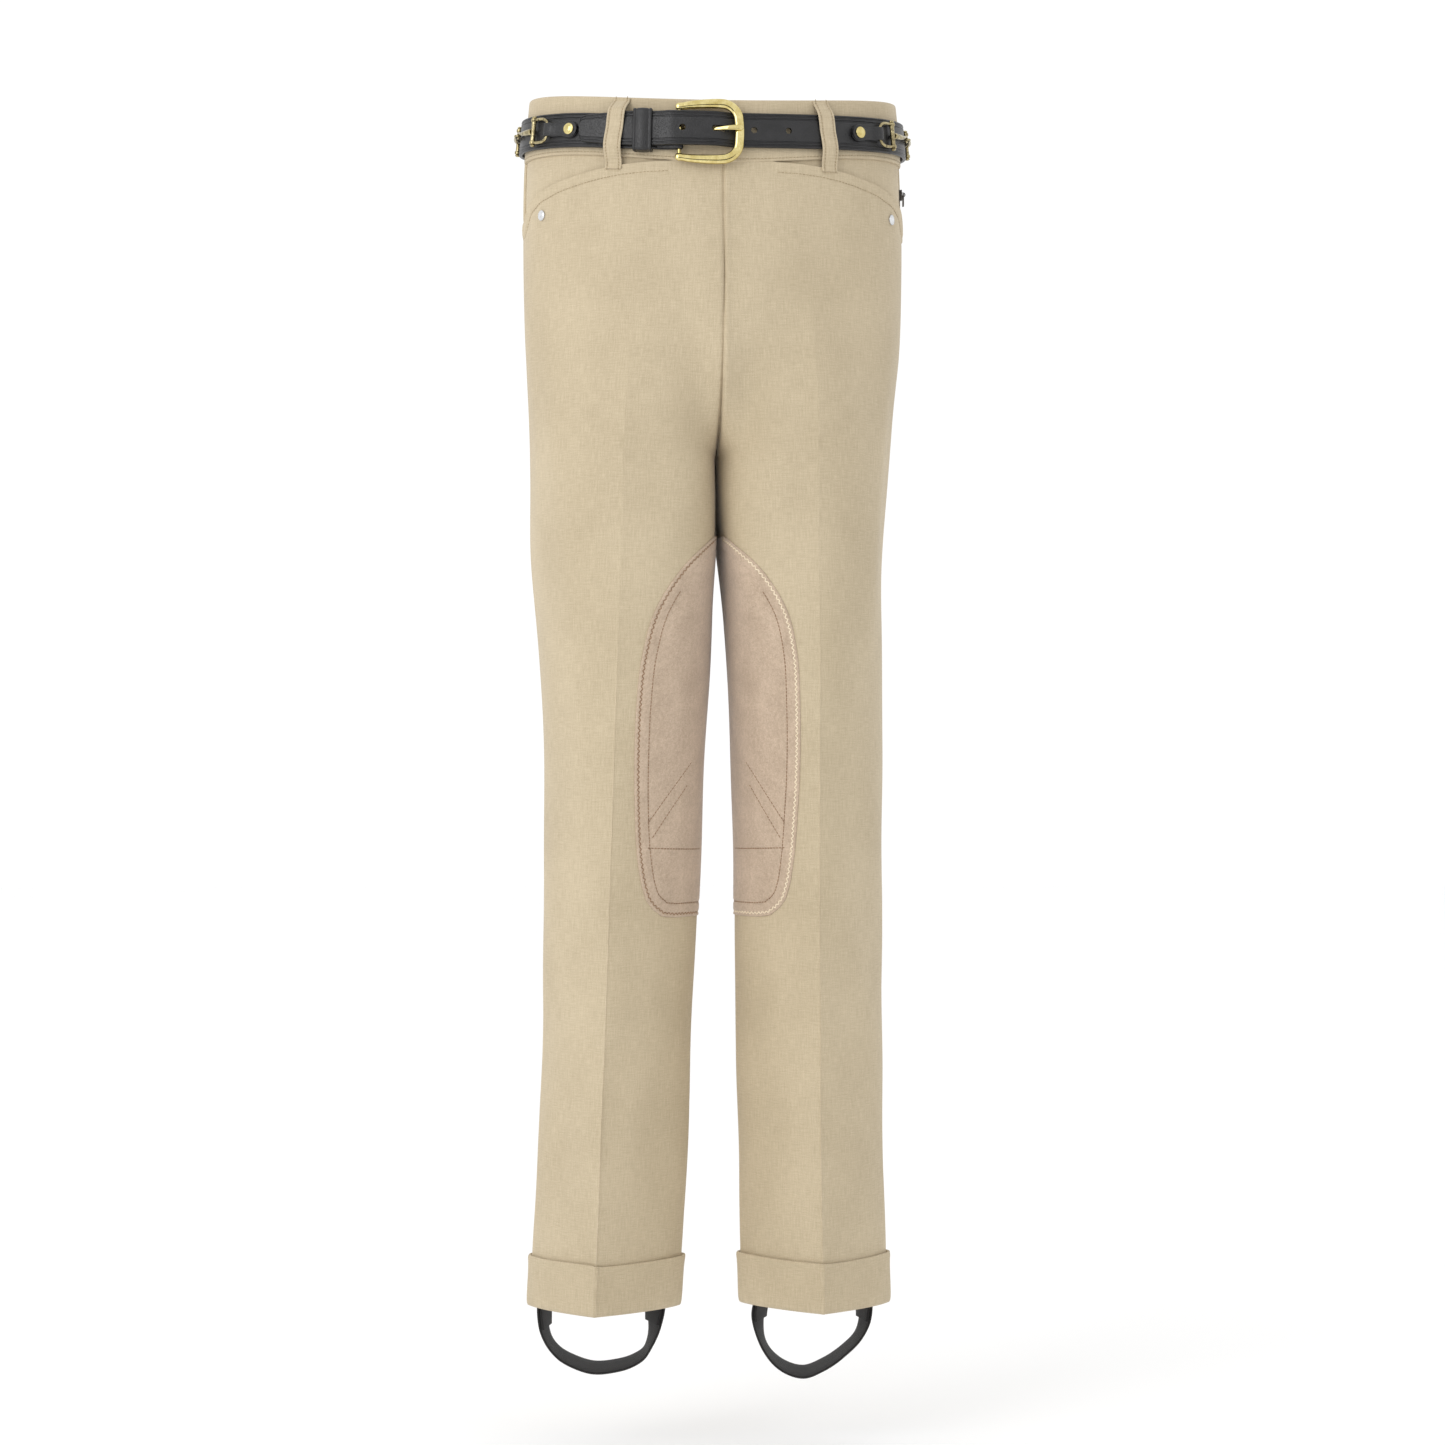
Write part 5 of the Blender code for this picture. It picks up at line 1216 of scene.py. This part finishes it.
route = belt_route()
plain_run = (np.diff(route[:, 1]) == 0) & (np.diff(route[:, 0]) < -10)
belt_path = smooth_path(route, np.where(plain_run, 3.0, 0.9))
belt_outline = strip_outline(BELT_HALF, STRAP_LEATHER, 0.8, GROOVES_IN, 0.5) * (1, -1)
belt_fall = BUCKLE_DROP * smooth_step((belt_path[:, 0] - DROP_START_A) / (DROP_FULL_A - DROP_START_A))
strap_rings = along_belt(strip_rings(belt_path, belt_outline), fall=belt_fall)
strap = loft("belt_strap_leather", strap_rings, black_leather)


def cut(body, cutter):
    change = body.modifiers.new(cutter.name, "BOOLEAN")
    change.object = cutter
    change.solver = "EXACT"


def hole_rings(a, reach, foot, top):
    """A hole punched through the belt; a long one has round ends."""
    rings = []
    for h in (foot, top):
        turn = np.linspace(0, 2 * math.pi, 24, endpoint=False)
        along = a + (reach - HOLE_RADIUS) * np.sign(np.cos(turn)) + HOLE_RADIUS * np.cos(turn)
        rings.append(on_belt(np.stack([along, HOLE_RADIUS * np.sin(turn), np.full_like(turn, h)], axis=1)))
    return rings


slot_corners = ((-4.4, 0.8), (2.4, 0.8), (2.4, 7.4), (-4.4, 7.4))
slot_rings = [on_belt([(a, v, h) for v, h in slot_corners]) for a in np.linspace(-36.2, -26.0, 4)]
cutters = [loft("tongue_slot", slot_rings, black_leather)]
# Holes from the tip on: half length, and the heights out of the cloth that the punch runs between
HOLES = ((2.3, 7.55, 12.0), (5.0, 3.0, 10.5), (2.3, 1.0, 7.0), (2.3, 1.0, 7.0))
for k, (reach, foot, top) in enumerate(HOLES):
    rings = hole_rings(USED_HOLE_A + (k - 1) * HOLE_PITCH, reach, foot, top)
    cutters.append(loft(f"hole_{k}", rings, black_leather))
for cutter in cutters:
    cut(strap, cutter)
plain_mesh(strap)
strap.data.set_sharp_from_angle(angle=math.radians(40))
for cutter in cutters:
    bpy.data.objects.remove(cutter)
stand_in(strap, "belt_strap")

# Keeper: a ring of the same leather, creased along both edges, that holds the strap's tip down.
KEEPER_OUTLINE = (
    (0.0, 0.0), (0.0, 0.75), (0.35, 1.3), (0.9, 1.5), (1.6, 1.45), (2.1, 1.05), (2.6, 1.05), (3.2, 1.5),
    (6.7, 1.7), (10.3, 1.5), (10.9, 1.05), (11.4, 1.05), (11.9, 1.45), (12.6, 1.5), (13.15, 1.3),
    (13.5, 0.75), (13.5, 0.0),
)


def keeper_ring(v, h, out_v, out_h):
    """Section of the keeper at one place of its inner outline, with the way outwards from there."""
    return [(KEEPER_SPAN[0] + a, v + out_v * rise, h + out_h * rise) for a, rise in KEEPER_OUTLINE]


keeper_rings = []
for corner_v, corner_h, first in (
    (13.1, 7.85, 0), (-15.2, 7.85, 90), (-15.2, 1.3, 180), (13.1, 1.3, 270),
):
    round_in = 0.8
    middle_v = corner_v - math.copysign(round_in, corner_v)
    middle_h = corner_h - math.copysign(round_in, corner_h - 4.5)
    for degrees in np.linspace(first, first + 90, 6):
        way_v, way_h = math.cos(math.radians(degrees)), math.sin(math.radians(degrees))
        thin = 1.0 - 0.45 * float(smooth_step(-way_h))
        corner = (middle_v + round_in * way_v, middle_h + round_in * way_h)
        keeper_rings.append(on_belt(keeper_ring(*corner, way_v * thin, way_h * thin)))
keeper = loft("keeper_leather", keeper_rings, black_leather, loop=True)
stand_in(keeper, "belt_keeper")

# Buckle: a bow of polished cast brass with round ends on its heel bar, and a brass tongue that is
# bent round the bar and rests on the bow.
BOW_CORNER = 12.5
BOW_SIDE_A = 10.6
ARM_V = 20.4
HEEL_V = 18.4


def metal_material(name, dark, light, roughness, wear=0.12, patina=None):
    """Polished metal: a clear reflection with fine rubbing marks and slow changes of tone."""
    made, shader, _, solid = new_material(name, {"Metallic": 1.0})
    slow = solid.noise((5.0, 5.0, 5.0), 2.0, 6.0)
    rubbing = solid.noise((0.35, 0.35, 2.0), 2.0, 1.0)
    colour = (slow * 0.6 + rubbing * 0.4).step(0.25, 0.75).between(dark, light)
    if patina:
        spots = solid.noise((1.6, 1.6, 1.6), 3.0, 13.0).step(0.5, 0.68)
        colour = colour.painted(patina, spots * 0.75)
    link(shader, "Base Color", colour)
    link(shader, "Roughness", rubbing * wear + (roughness - wear / 2))
    rough_up(shader, slow * 0.6 + rubbing * 0.4, 0.04, 0.5)
    return made


brass = metal_material("polished_brass", seen(196, 176, 108), seen(234, 220, 160), 0.1, wear=0.06)
aged_brass = metal_material(
    "aged_brass", seen(138, 124, 90), seen(204, 192, 150), 0.24, patina=seen(66, 58, 44)
)


def tube_rings(points, radii, face, sides=16, flat=1.0, power=1.0):
    """Rings of a bar along world points; flat squashes it along face, power below 1 squares it."""
    points = np.asarray(points, float)
    tangents = np.gradient(points, axis=0)
    tangents /= np.linalg.norm(tangents, axis=1, keepdims=True)
    turn = np.linspace(0, 2 * math.pi, sides, endpoint=False) + math.pi / sides
    across = np.sign(np.cos(turn)) * np.abs(np.cos(turn)) ** power
    lift = np.sign(np.sin(turn)) * np.abs(np.sin(turn)) ** power * flat
    rings = []
    for point, tangent, radius, out in zip(points, tangents, np.broadcast_to(radii, len(points)), face):
        out = out - tangent * np.dot(out, tangent)
        out /= np.linalg.norm(out)
        aside = np.cross(tangent, out)
        rings.append(point + radius * (across[:, None] * aside + lift[:, None] * out))
    return np.array(rings)


bow = [
    (-34.4, HEEL_V, 0.5), (-34.0, HEEL_V, 1.6), (-33.0, HEEL_V, 2.5), (-31.5, HEEL_V + 0.1, 2.85),
    (-29.6, HEEL_V + 0.3, 2.65), (-26.0, HEEL_V + 0.9, 2.8), (-19.0, ARM_V - 0.4, 3.1), (-10.0, ARM_V, 3.4),
]
bow += [(a, v, 3.5) for a, v in arc((BOW_SIDE_A - BOW_CORNER, ARM_V - BOW_CORNER), BOW_CORNER, 90, 0, 9)]
bow += [(BOW_SIDE_A + 0.4, 0.0, 3.5)] + [(a, -v, r) for a, v, r in bow[::-1]]
rising = [(a, v - BUCKLE_DROP, 4.6 + 2.5 * (a + 33.0) / 44.0, r) for a, v, r in bow]
frame_rows = smooth_path(rising, 0.9, 3)
buckle = loft("buckle_bow", tube_rings(
    on_belt(frame_rows[:, :3]), frame_rows[:, 3], belt_face(frame_rows[:, :3]), 20, 0.7, 0.85), brass)
bar_places = [(HEEL_BAR[0], v - BUCKLE_DROP, HEEL_BAR[1]) for v in np.linspace(-17.8, 17.8, 7)]
bar_rings = tube_rings(on_belt(bar_places), HEEL_BAR_RADIUS, belt_face(bar_places), 14)
heel_bar = loft("heel_bar", bar_rings, brass)
cut(buckle, heel_bar)
buckle.modifiers["heel_bar"].operation = "UNION"
plain_mesh(buckle)
buckle.data.set_sharp_from_angle(angle=math.radians(42))
bpy.data.objects.remove(heel_bar)
stand_in(buckle, "buckle_frame")

eye = [(a, h, 0.62, 1.0) for a, h in arc(HEEL_BAR, 2.15, 40, 262, 15)]
prong = [
    (-29.0, 2.5, 0.72, 0.95), (-24.0, 3.5, 0.94, 0.9), (-17.0, 4.5, 1.0, 0.85), (-9.5, 5.1, 1.0, 0.82),
    (-7.0, 5.7, 1.0, 0.85), (-3.5, 7.2, 1.0, 0.9), (0.5, 9.2, 1.0, 1.0), (4.0, 10.4, 1.0, 1.1),
    (8.0, 10.9, 1.0, 1.2), (10.8, 10.9, 0.95, 1.2), (12.4, 10.6, 0.75, 0.95), (13.1, 10.4, 0.4, 0.5),
]
tongue_outline = strip_outline(1.6, 1.8, 0.9, middle=1)
tongue_rings = strip_rings(smooth_path(eye + prong, 0.6), tongue_outline)
tongue = loft("buckle_prong", along_belt(tongue_rings), brass)
stand_in(tongue, "buckle_tongue")

# Side bits: a small jointed snaffle bit lies on the belt at each hip. Its dees pass through folded
# leather tabs, and a domed brass rivet holds each tab to the belt.
BIT_MIDDLE = (("left", 161.0), ("right", -170.5))
BIT_H = 7.3
CHEEK_P = 25.0
DEE_BACK_P = 39.0
TAB_RIVET_P = 58.0
TAB_END_RADIUS = 6.2
TAB_HALF = 4.8
TAB_LEATHER = 1.2
DEE_WIRE_RADIUS = 1.1
EYE_RADIUS = 1.9
EYE_WIRE_RADIUS = 0.8
TAB_FOLD = DEE_WIRE_RADIUS + SEAM_GAP + TAB_LEATHER / 2
TAB_UPPER = BIT_H - TAB_FOLD + TAB_LEATHER + SEAM_GAP
RIVET_PROFILE = (
    (0.0, 3.7), (0.2, 4.05), (0.45, 4.2), (0.75, 4.1), (0.95, 3.8), (0.98, 3.5), (0.9, 3.25), (1.0, 3.0),
    (1.3, 2.4), (1.5, 1.6), (1.6, 0.7), (1.62, 0.1),
)
HALF_CHEEK = (
    (11.35, 0.15), (11.3, 0.8), (11.1, 1.35), (10.7, 1.8), (10.3, 1.95), (9.9, 1.75), (9.6, 1.4),
    (9.5, 1.5), (9.4, 2.1), (9.2, 2.4), (8.2, 2.45), (7.3, 2.4), (7.05, 2.1), (6.9, 1.85), (4.0, 1.75),
)
HALF_DEE = ((27.2, 8.4), (29.0, 8.5), (31.0, 8.5), (34.5, 8.3), (37.0, 7.2), (38.5, 5.6), (39.0, 3.6))


def tab_route():
    """(along, out, thickness share, width share) of a tab: lower leaf, fold round the dee, upper."""
    lower = BIT_H - TAB_FOLD
    end = TAB_RIVET_P + TAB_END_RADIUS
    round_end = [(end + TAB_END_RADIUS * (math.cos(t) - 1), math.sin(t) * TAB_END_RADIUS / TAB_HALF)
                 for t in np.radians((12, 25, 40, 55, 72, 90))]
    neck = [(TAB_RIVET_P - 4.0, 1.16), (TAB_RIVET_P - 7.0, 1.03), (TAB_RIVET_P - 9.0, 1.0)]
    leaf = round_end + neck
    rows = [(p, lower, 1.0, w) for p, w in leaf] + [(43.5, lower, 1.0, 1.0)]
    rows += [(p, h, 1.0, 1.0) for p, h in arc((DEE_BACK_P, BIT_H), TAB_FOLD, 270, 90, 9)]
    rows += [(42.5, BIT_H + TAB_FOLD - 0.5, 1.0, 1.0), (46.5, TAB_UPPER + 0.1, 1.0, 1.0)]
    return rows + [(p, TAB_UPPER, 1.0, w) for p, w in leaf[::-1]]


def mouth_rows():
    """(distance out, rise, radius) of half a mouthpiece, from the cheek to its eye."""
    rows = [
        (22.9, 0.0, 2.0), (22.0, 0.0, 2.3), (20.0, 0.0, 2.3), (16.0, 0.05, 2.05), (10.0, 0.2, 1.5),
        (6.0, 0.75, 1.05), (3.4, 1.55, 0.85),
    ]
    for degrees in range(90, 331, 15):
        t = math.radians(degrees)
        rows.append((EYE_RADIUS / 2 + EYE_RADIUS * math.cos(t), EYE_RADIUS * math.sin(t), EYE_WIRE_RADIUS))
    return rows


def dress_bit(side_name, middle, end_name, way):
    turn = way if middle > 0 else -way
    label = f"{side_name}_{end_name}"

    def keep(made, node):
        stand_in(made, f"{node}_{label}")

    outline = strip_outline(TAB_HALF, TAB_LEATHER, 0.6, (1.1,), 0.22)
    rings = strip_rings(smooth_path(tab_route(), 0.8), outline)
    tab = loft(f"tab_leather_{label}", along_belt(rings, turn, middle), black_leather)
    keep(tab, "bit_tab")
    seat_place = (middle + turn * TAB_RIVET_P, 0, TAB_UPPER + TAB_LEATHER / 2)
    seat, face = on_belt(seat_place), belt_face(seat_place)
    keep(turned(f"brass_rivet_{label}", RIVET_PROFILE, seat, face, brass, 32), "tab_rivet")
    dee = HALF_DEE + ((DEE_BACK_P, 0.0),) + tuple((p, -v) for p, v in HALF_DEE[::-1])
    rows = smooth_path([(middle + turn * p, v, BIT_H, DEE_WIRE_RADIUS) for p, v in dee], 0.7, 3)
    rings = tube_rings(on_belt(rows[:, :3]), rows[:, 3], belt_face(rows[:, :3]), 14)
    keep(loft(f"dee_wire_{label}", rings, aged_brass), "bit_dee")
    profile = HALF_CHEEK + tuple((-v, r) for v, r in HALF_CHEEK[::-1])
    foot = on_belt((middle + turn * CHEEK_P, -5.0, BIT_H))
    head = on_belt((middle + turn * CHEEK_P, 5.0, BIT_H))
    cheek = turned(f"cheek_bar_{label}", profile, (foot + head) / 2, head - foot, aged_brass, 20)
    keep(cheek, "bit_cheek")
    if end_name == "front":
        places = [(middle + turn * p, off, BIT_H, r) for p, off, r in mouth_rows()]
    else:
        places = [(middle + turn * p, 0.0, BIT_H + off, r) for p, off, r in mouth_rows()]
    rows = smooth_path(places, 0.5, 3)
    points = on_belt(rows[:, :3])
    upward = on_belt(rows[:, :3] + (0, 1, 0)) - points
    face = belt_face(rows[:, :3]) if end_name == "front" else upward
    rings = tube_rings(points, rows[:, 3], face, 14)
    keep(loft(f"mouth_bar_{label}", rings, aged_brass), "bit_mouth")


for side_name, middle in BIT_MIDDLE:
    for end_name, way in (("front", -1), ("rear", 1)):
        dress_bit(side_name, middle, end_name, way)

# Pocket studs: a plain round domed stud of bright metal at the outer corner of each front pocket.
STUD_X = 129.5
STUD_Z = -67.0
STUD_PROFILE = (
    (-0.2, 3.5), (0.2, 3.8), (0.5, 3.9), (0.75, 3.75), (0.85, 3.45), (0.8, 3.25), (0.95, 3.0),
    (1.35, 2.2), (1.6, 1.3), (1.7, 0.5), (1.72, 0.1),
)
bright_metal = metal_material("bright_metal", seen(196, 198, 200), seen(236, 237, 238), 0.2)
stud_w = np.interp([STUD_X], half_section(-1, LENGTH_U, STUD_Z)[:, 0], LENGTH_U)
for leg in LEGS:
    seat, above = (cloth(leg, stud_w, STUD_Z, lift)[0] for lift in (0.2, 1.2))
    stud = turned(f"domed_stud_{leg}", STUD_PROFILE, seat, above - seat, bright_metal, 32)
    stand_in(stud, f"pocket_stud_{leg}")

# Side zip: two woven tapes with a fine coil along each, sewn behind the opening of the left side
# seam, and a dark slider near the top whose flat pull hangs from a bail.
ZIP_TOP_Z = -24.0
COIL_PITCH = 1.25
tape_cloth = twill_material("zip_tape_weave", seen(150, 134, 108), seen(184, 168, 140))
coil_plastic, coil_shader, _, coil_solid = new_material("zip_coil", {"Roughness": 0.4})
coil_colours = (seen(120, 104, 80), seen(150, 134, 106))
link(coil_shader, "Base Color", coil_solid.noise((1.0, 1.0, 1.0)).between(*coil_colours))


def beside_zip(y, out, z):
    """World point by the side seam of the wearer's left: along, out from the cloth, and up."""
    return (float(section(z)["side_x"]) + out, y, z)


TAPES = (
    ("front", -1, ((0.9, -3.6), (9.5, -5.2), (9.5, -6.0), (2.6, -4.9), (2.4, -6.6), (0.9, -6.6))),
    ("back", 1, ((0.9, -1.6), (9.5, -3.2), (9.5, -4.0), (2.6, -2.9), (2.4, -6.6), (0.9, -6.6))),
)
for name, way, outline in TAPES:
    heights = np.linspace(ZIP_TOP_Z, ZIP_FOOT_Z, 40)
    rings = [[beside_zip(way * y, out, z) for y, out in outline] for z in heights]
    tape = loft(f"woven_tape_{name}", rings, tape_cloth)
    stand_in(tape, f"zip_tape_{name}")
    route = [beside_zip(way * 0.7, -2.6 if way < 0 else -1.9, z) for z in heights[::3]]
    coil = set_row(f"zip_coil_{name}", [(np.array(route), (1.0, 0.0, 0.0))], thread_form, coil_plastic,
                   COIL_PITCH, 0.8, 2.0, 1.3)
    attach(coil, "root")
dark_metal = metal_material("dark_zip_metal", seen(64, 60, 56), seen(104, 98, 92), 0.35)
for name in ("zip_slider", "zip_pull"):
    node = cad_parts[name]
    node.data.materials.clear()
    node.data.materials.append(dark_metal)

# Foot straps: black woven elastic that goes under the instep, with a doubled end sewn inside the
# hem at each side of the cuff.
# Middle line of each strap, from the inner end: sideways place from the crease and height
STRAP_ROUTES = {
    "left": (
        (-45.0, -850), (-45.0, -862), (-45.6, -874), (-47.6, -886), (-46.6, -898), (-43.5, -909),
        (-38.0, -918), (-27.5, -926.5), (-13.0, -930.5), (2.0, -925), (18.0, -914), (28.6, -903),
        (33.0, -893), (34.2, -882), (34.2, -872), (34.0, -861), (34.0, -850),
    ),
    "right": (
        (-45.4, -850), (-45.2, -862), (-44.6, -874), (-43.2, -886), (-41.3, -898), (-38.6, -906),
        (-34.5, -913.5), (-26.0, -919), (-12.0, -922.8), (3.0, -923.6), (17.5, -919), (28.6, -912.4),
        (35.6, -904), (39.2, -895), (40.4, -884), (40.6, -873), (40.6, -862), (40.6, -850),
    ),
}
ELASTIC_WIDTH = 24.0
ELASTIC = 1.6
ELASTIC_TURN = {"left": (-24.0, 21.0), "right": (-30.0, 16.0)}
ELASTIC_MIDDLE_Y = {"left": (12.9, 13.5), "right": (12.0, 4.0)}
STRAP_TILT = 2.5
TAB_GAP = 0.6
TAB_FOOT_Z = -893.0
elastic, elastic_shader, elastic_flat, _ = new_material(
    "black_woven_elastic", {"Roughness": 0.72, "Sheen Weight": 0.12, "Specular IOR Level": 0.35},
)
ribs = (elastic_flat.stretched((1.0, 1.0, 1.0)).axis(1) * 5.0).wave() * 0.5 + 0.5
picks = (elastic_flat.stretched((1.0, 1.0, 1.0)).axis(0) * 7.5).wave() * 0.5 + 0.5
lint = elastic_flat.noise((3.0, 1.0, 1.0), 3.0)
link(elastic_shader, "Base Color", (ribs * 0.3 + lint * 0.5 + picks * 0.15).step(0.2, 0.8).between(
    seen(18, 17, 17), seen(42, 40, 40)))
rough_up(elastic_shader, ribs * 0.6 + picks * 0.4, 0.2, 0.8)


def elastic_rings(leg):
    """Rings round the strap along its route, and the same rings moved inwards for the sewn ends."""
    route = smooth_path(STRAP_ROUTES[leg], 2.5)
    side = 1 if leg == "left" else -1
    middle_x = float(section(-875.0)["crease_x"])
    ends = (route[0, 0], route[-1, 0])
    across = np.radians(np.interp(route[:, 0], ends, ELASTIC_TURN[leg]))
    depths = np.interp(route[:, 0], ends, ELASTIC_MIDDLE_Y[leg])
    steps = np.gradient(route, axis=0)
    steps /= np.linalg.norm(steps, axis=1, keepdims=True)
    low = smooth_step((-880.0 - route[:, 1]) / 40.0)
    outline = strip_outline(1.0, 2.0, 0.05)
    rings, doubled = [], {"inner": [], "outer": []}
    for (x, z), turn, depth, step, fall in zip(route, across, depths, steps, low):
        middle = np.array([middle_x + x, depth, z])
        edge = np.array([-math.sin(turn) * (1 - fall), math.cos(turn), 0.0]) * ELASTIC_WIDTH / 2
        edge = edge + (0, 0, STRAP_TILT * fall)
        off = np.array([-step[1], 0.0, step[0]]) * ELASTIC / 2
        ring = middle + outline[:, :1] * edge + outline[:, 1:] * off
        rings.append(ring * (side, 1, 1))
        if z > TAB_FOOT_Z:
            moved = ring + off * 2 * (1 + TAB_GAP / ELASTIC)
            doubled["inner" if x < 0 else "outer"].append(moved * (side, 1, 1))
    return turned_leg(np.array(rings)), {k: turned_leg(np.array(v)) for k, v in doubled.items()}


for leg in LEGS:
    rings, ends = elastic_rings(leg)
    strap_piece = loft(f"elastic_strap_{leg}", rings, elastic)
    stand_in(strap_piece, f"stirrup_strap_{leg}")
    for which, end_rings in ends.items():
        tab = loft(f"elastic_end_{leg}_{which}", end_rings, elastic)
        stand_in(tab, f"stirrup_tab_{leg}_{which}")

# The studio: a pale floor under the hem, a soft key light from the left of the picture, a white
# room that fills the shadows, and the camera at the height and angle of the photograph.
REACH = 9.0
FLOOR_Z = -0.985


def studio_sheet(name, corners, colours, seen_directly=True):
    """A large flat sheet of plain card, used only in the studio."""
    paint, shader, _, solid = new_material(name, {"Roughness": 0.9})
    link(shader, "Base Color", solid.noise((400.0, 400.0, 400.0), 2.0).between(*colours))
    mesh = bpy.data.meshes.new(name)
    mesh.from_pydata(corners, [], [(0, 1, 2, 3)])
    mesh.materials.append(paint)
    made = bpy.data.objects.new(name, mesh)
    bpy.context.scene.collection.objects.link(made)
    made.visible_camera = seen_directly


studio_sheet("floor", [(x * REACH, y * REACH, FLOOR_Z) for x, y in ((-1, -1), (1, -1), (1, 1), (-1, 1))],
             ((0.97, 0.97, 0.97), (0.98, 0.98, 0.98)))
studio_sheet("dark_card", [(-1.7, -3.4, 0.35), (1.1, -3.4, 0.35), (1.1, -3.4, -0.45), (-1.7, -3.4, -0.45)],
             ((0.03, 0.03, 0.03), (0.04, 0.04, 0.04)), seen_directly=False)

world = bpy.data.worlds.new("white_room")
bpy.context.scene.world = world
world.use_nodes = True
world.node_tree.nodes["Background"].inputs["Color"].default_value = (1.0, 1.0, 1.0, 1.0)
world.node_tree.nodes["Background"].inputs["Strength"].default_value = 1.03

KEY_PLACE = (-1.9, -1.9, 0.6)
KEY_AIM = (0.0, 0.0, -0.4)
soft_box = bpy.data.lights.new("key_light", "AREA")
soft_box.shape = "RECTANGLE"
soft_box.size = 1.6
soft_box.size_y = 2.0
soft_box.energy = 24.0
key_light = bpy.data.objects.new("key_light", soft_box)
key_light.location = KEY_PLACE
way = Vector(np.array(KEY_AIM) - np.array(KEY_PLACE))
key_light.rotation_euler = way.to_track_quat("-Z", "Y").to_euler()
bpy.context.scene.collection.objects.link(key_light)

CAMERA_DISTANCE = 2.6
CAMERA_TURN = math.radians(-5.0)
CAMERA_Z = -0.44
FRAME_MIDDLE_PX = 722.5
GARMENT_MIDDLE_PX = 713.0
METRES_PER_PX = 0.00075
HALF_VIEW = math.radians(11.77)
camera_data = bpy.data.cameras.new("camera")
camera_data.sensor_width = 36.0
camera_data.lens = camera_data.sensor_width / (2 * math.tan(HALF_VIEW))
camera = bpy.data.objects.new("camera", camera_data)
side_step = (FRAME_MIDDLE_PX - GARMENT_MIDDLE_PX) * METRES_PER_PX
camera.location = (
    side_step * math.cos(CAMERA_TURN) + CAMERA_DISTANCE * math.sin(CAMERA_TURN),
    side_step * math.sin(CAMERA_TURN) - CAMERA_DISTANCE * math.cos(CAMERA_TURN),
    CAMERA_Z,
)
camera.rotation_euler = (math.pi / 2, 0.0, CAMERA_TURN)
bpy.context.scene.collection.objects.link(camera)
bpy.context.scene.camera = camera
bpy.context.scene.view_settings.view_transform = "Standard"

bpy.data.objects.remove(thread_form)
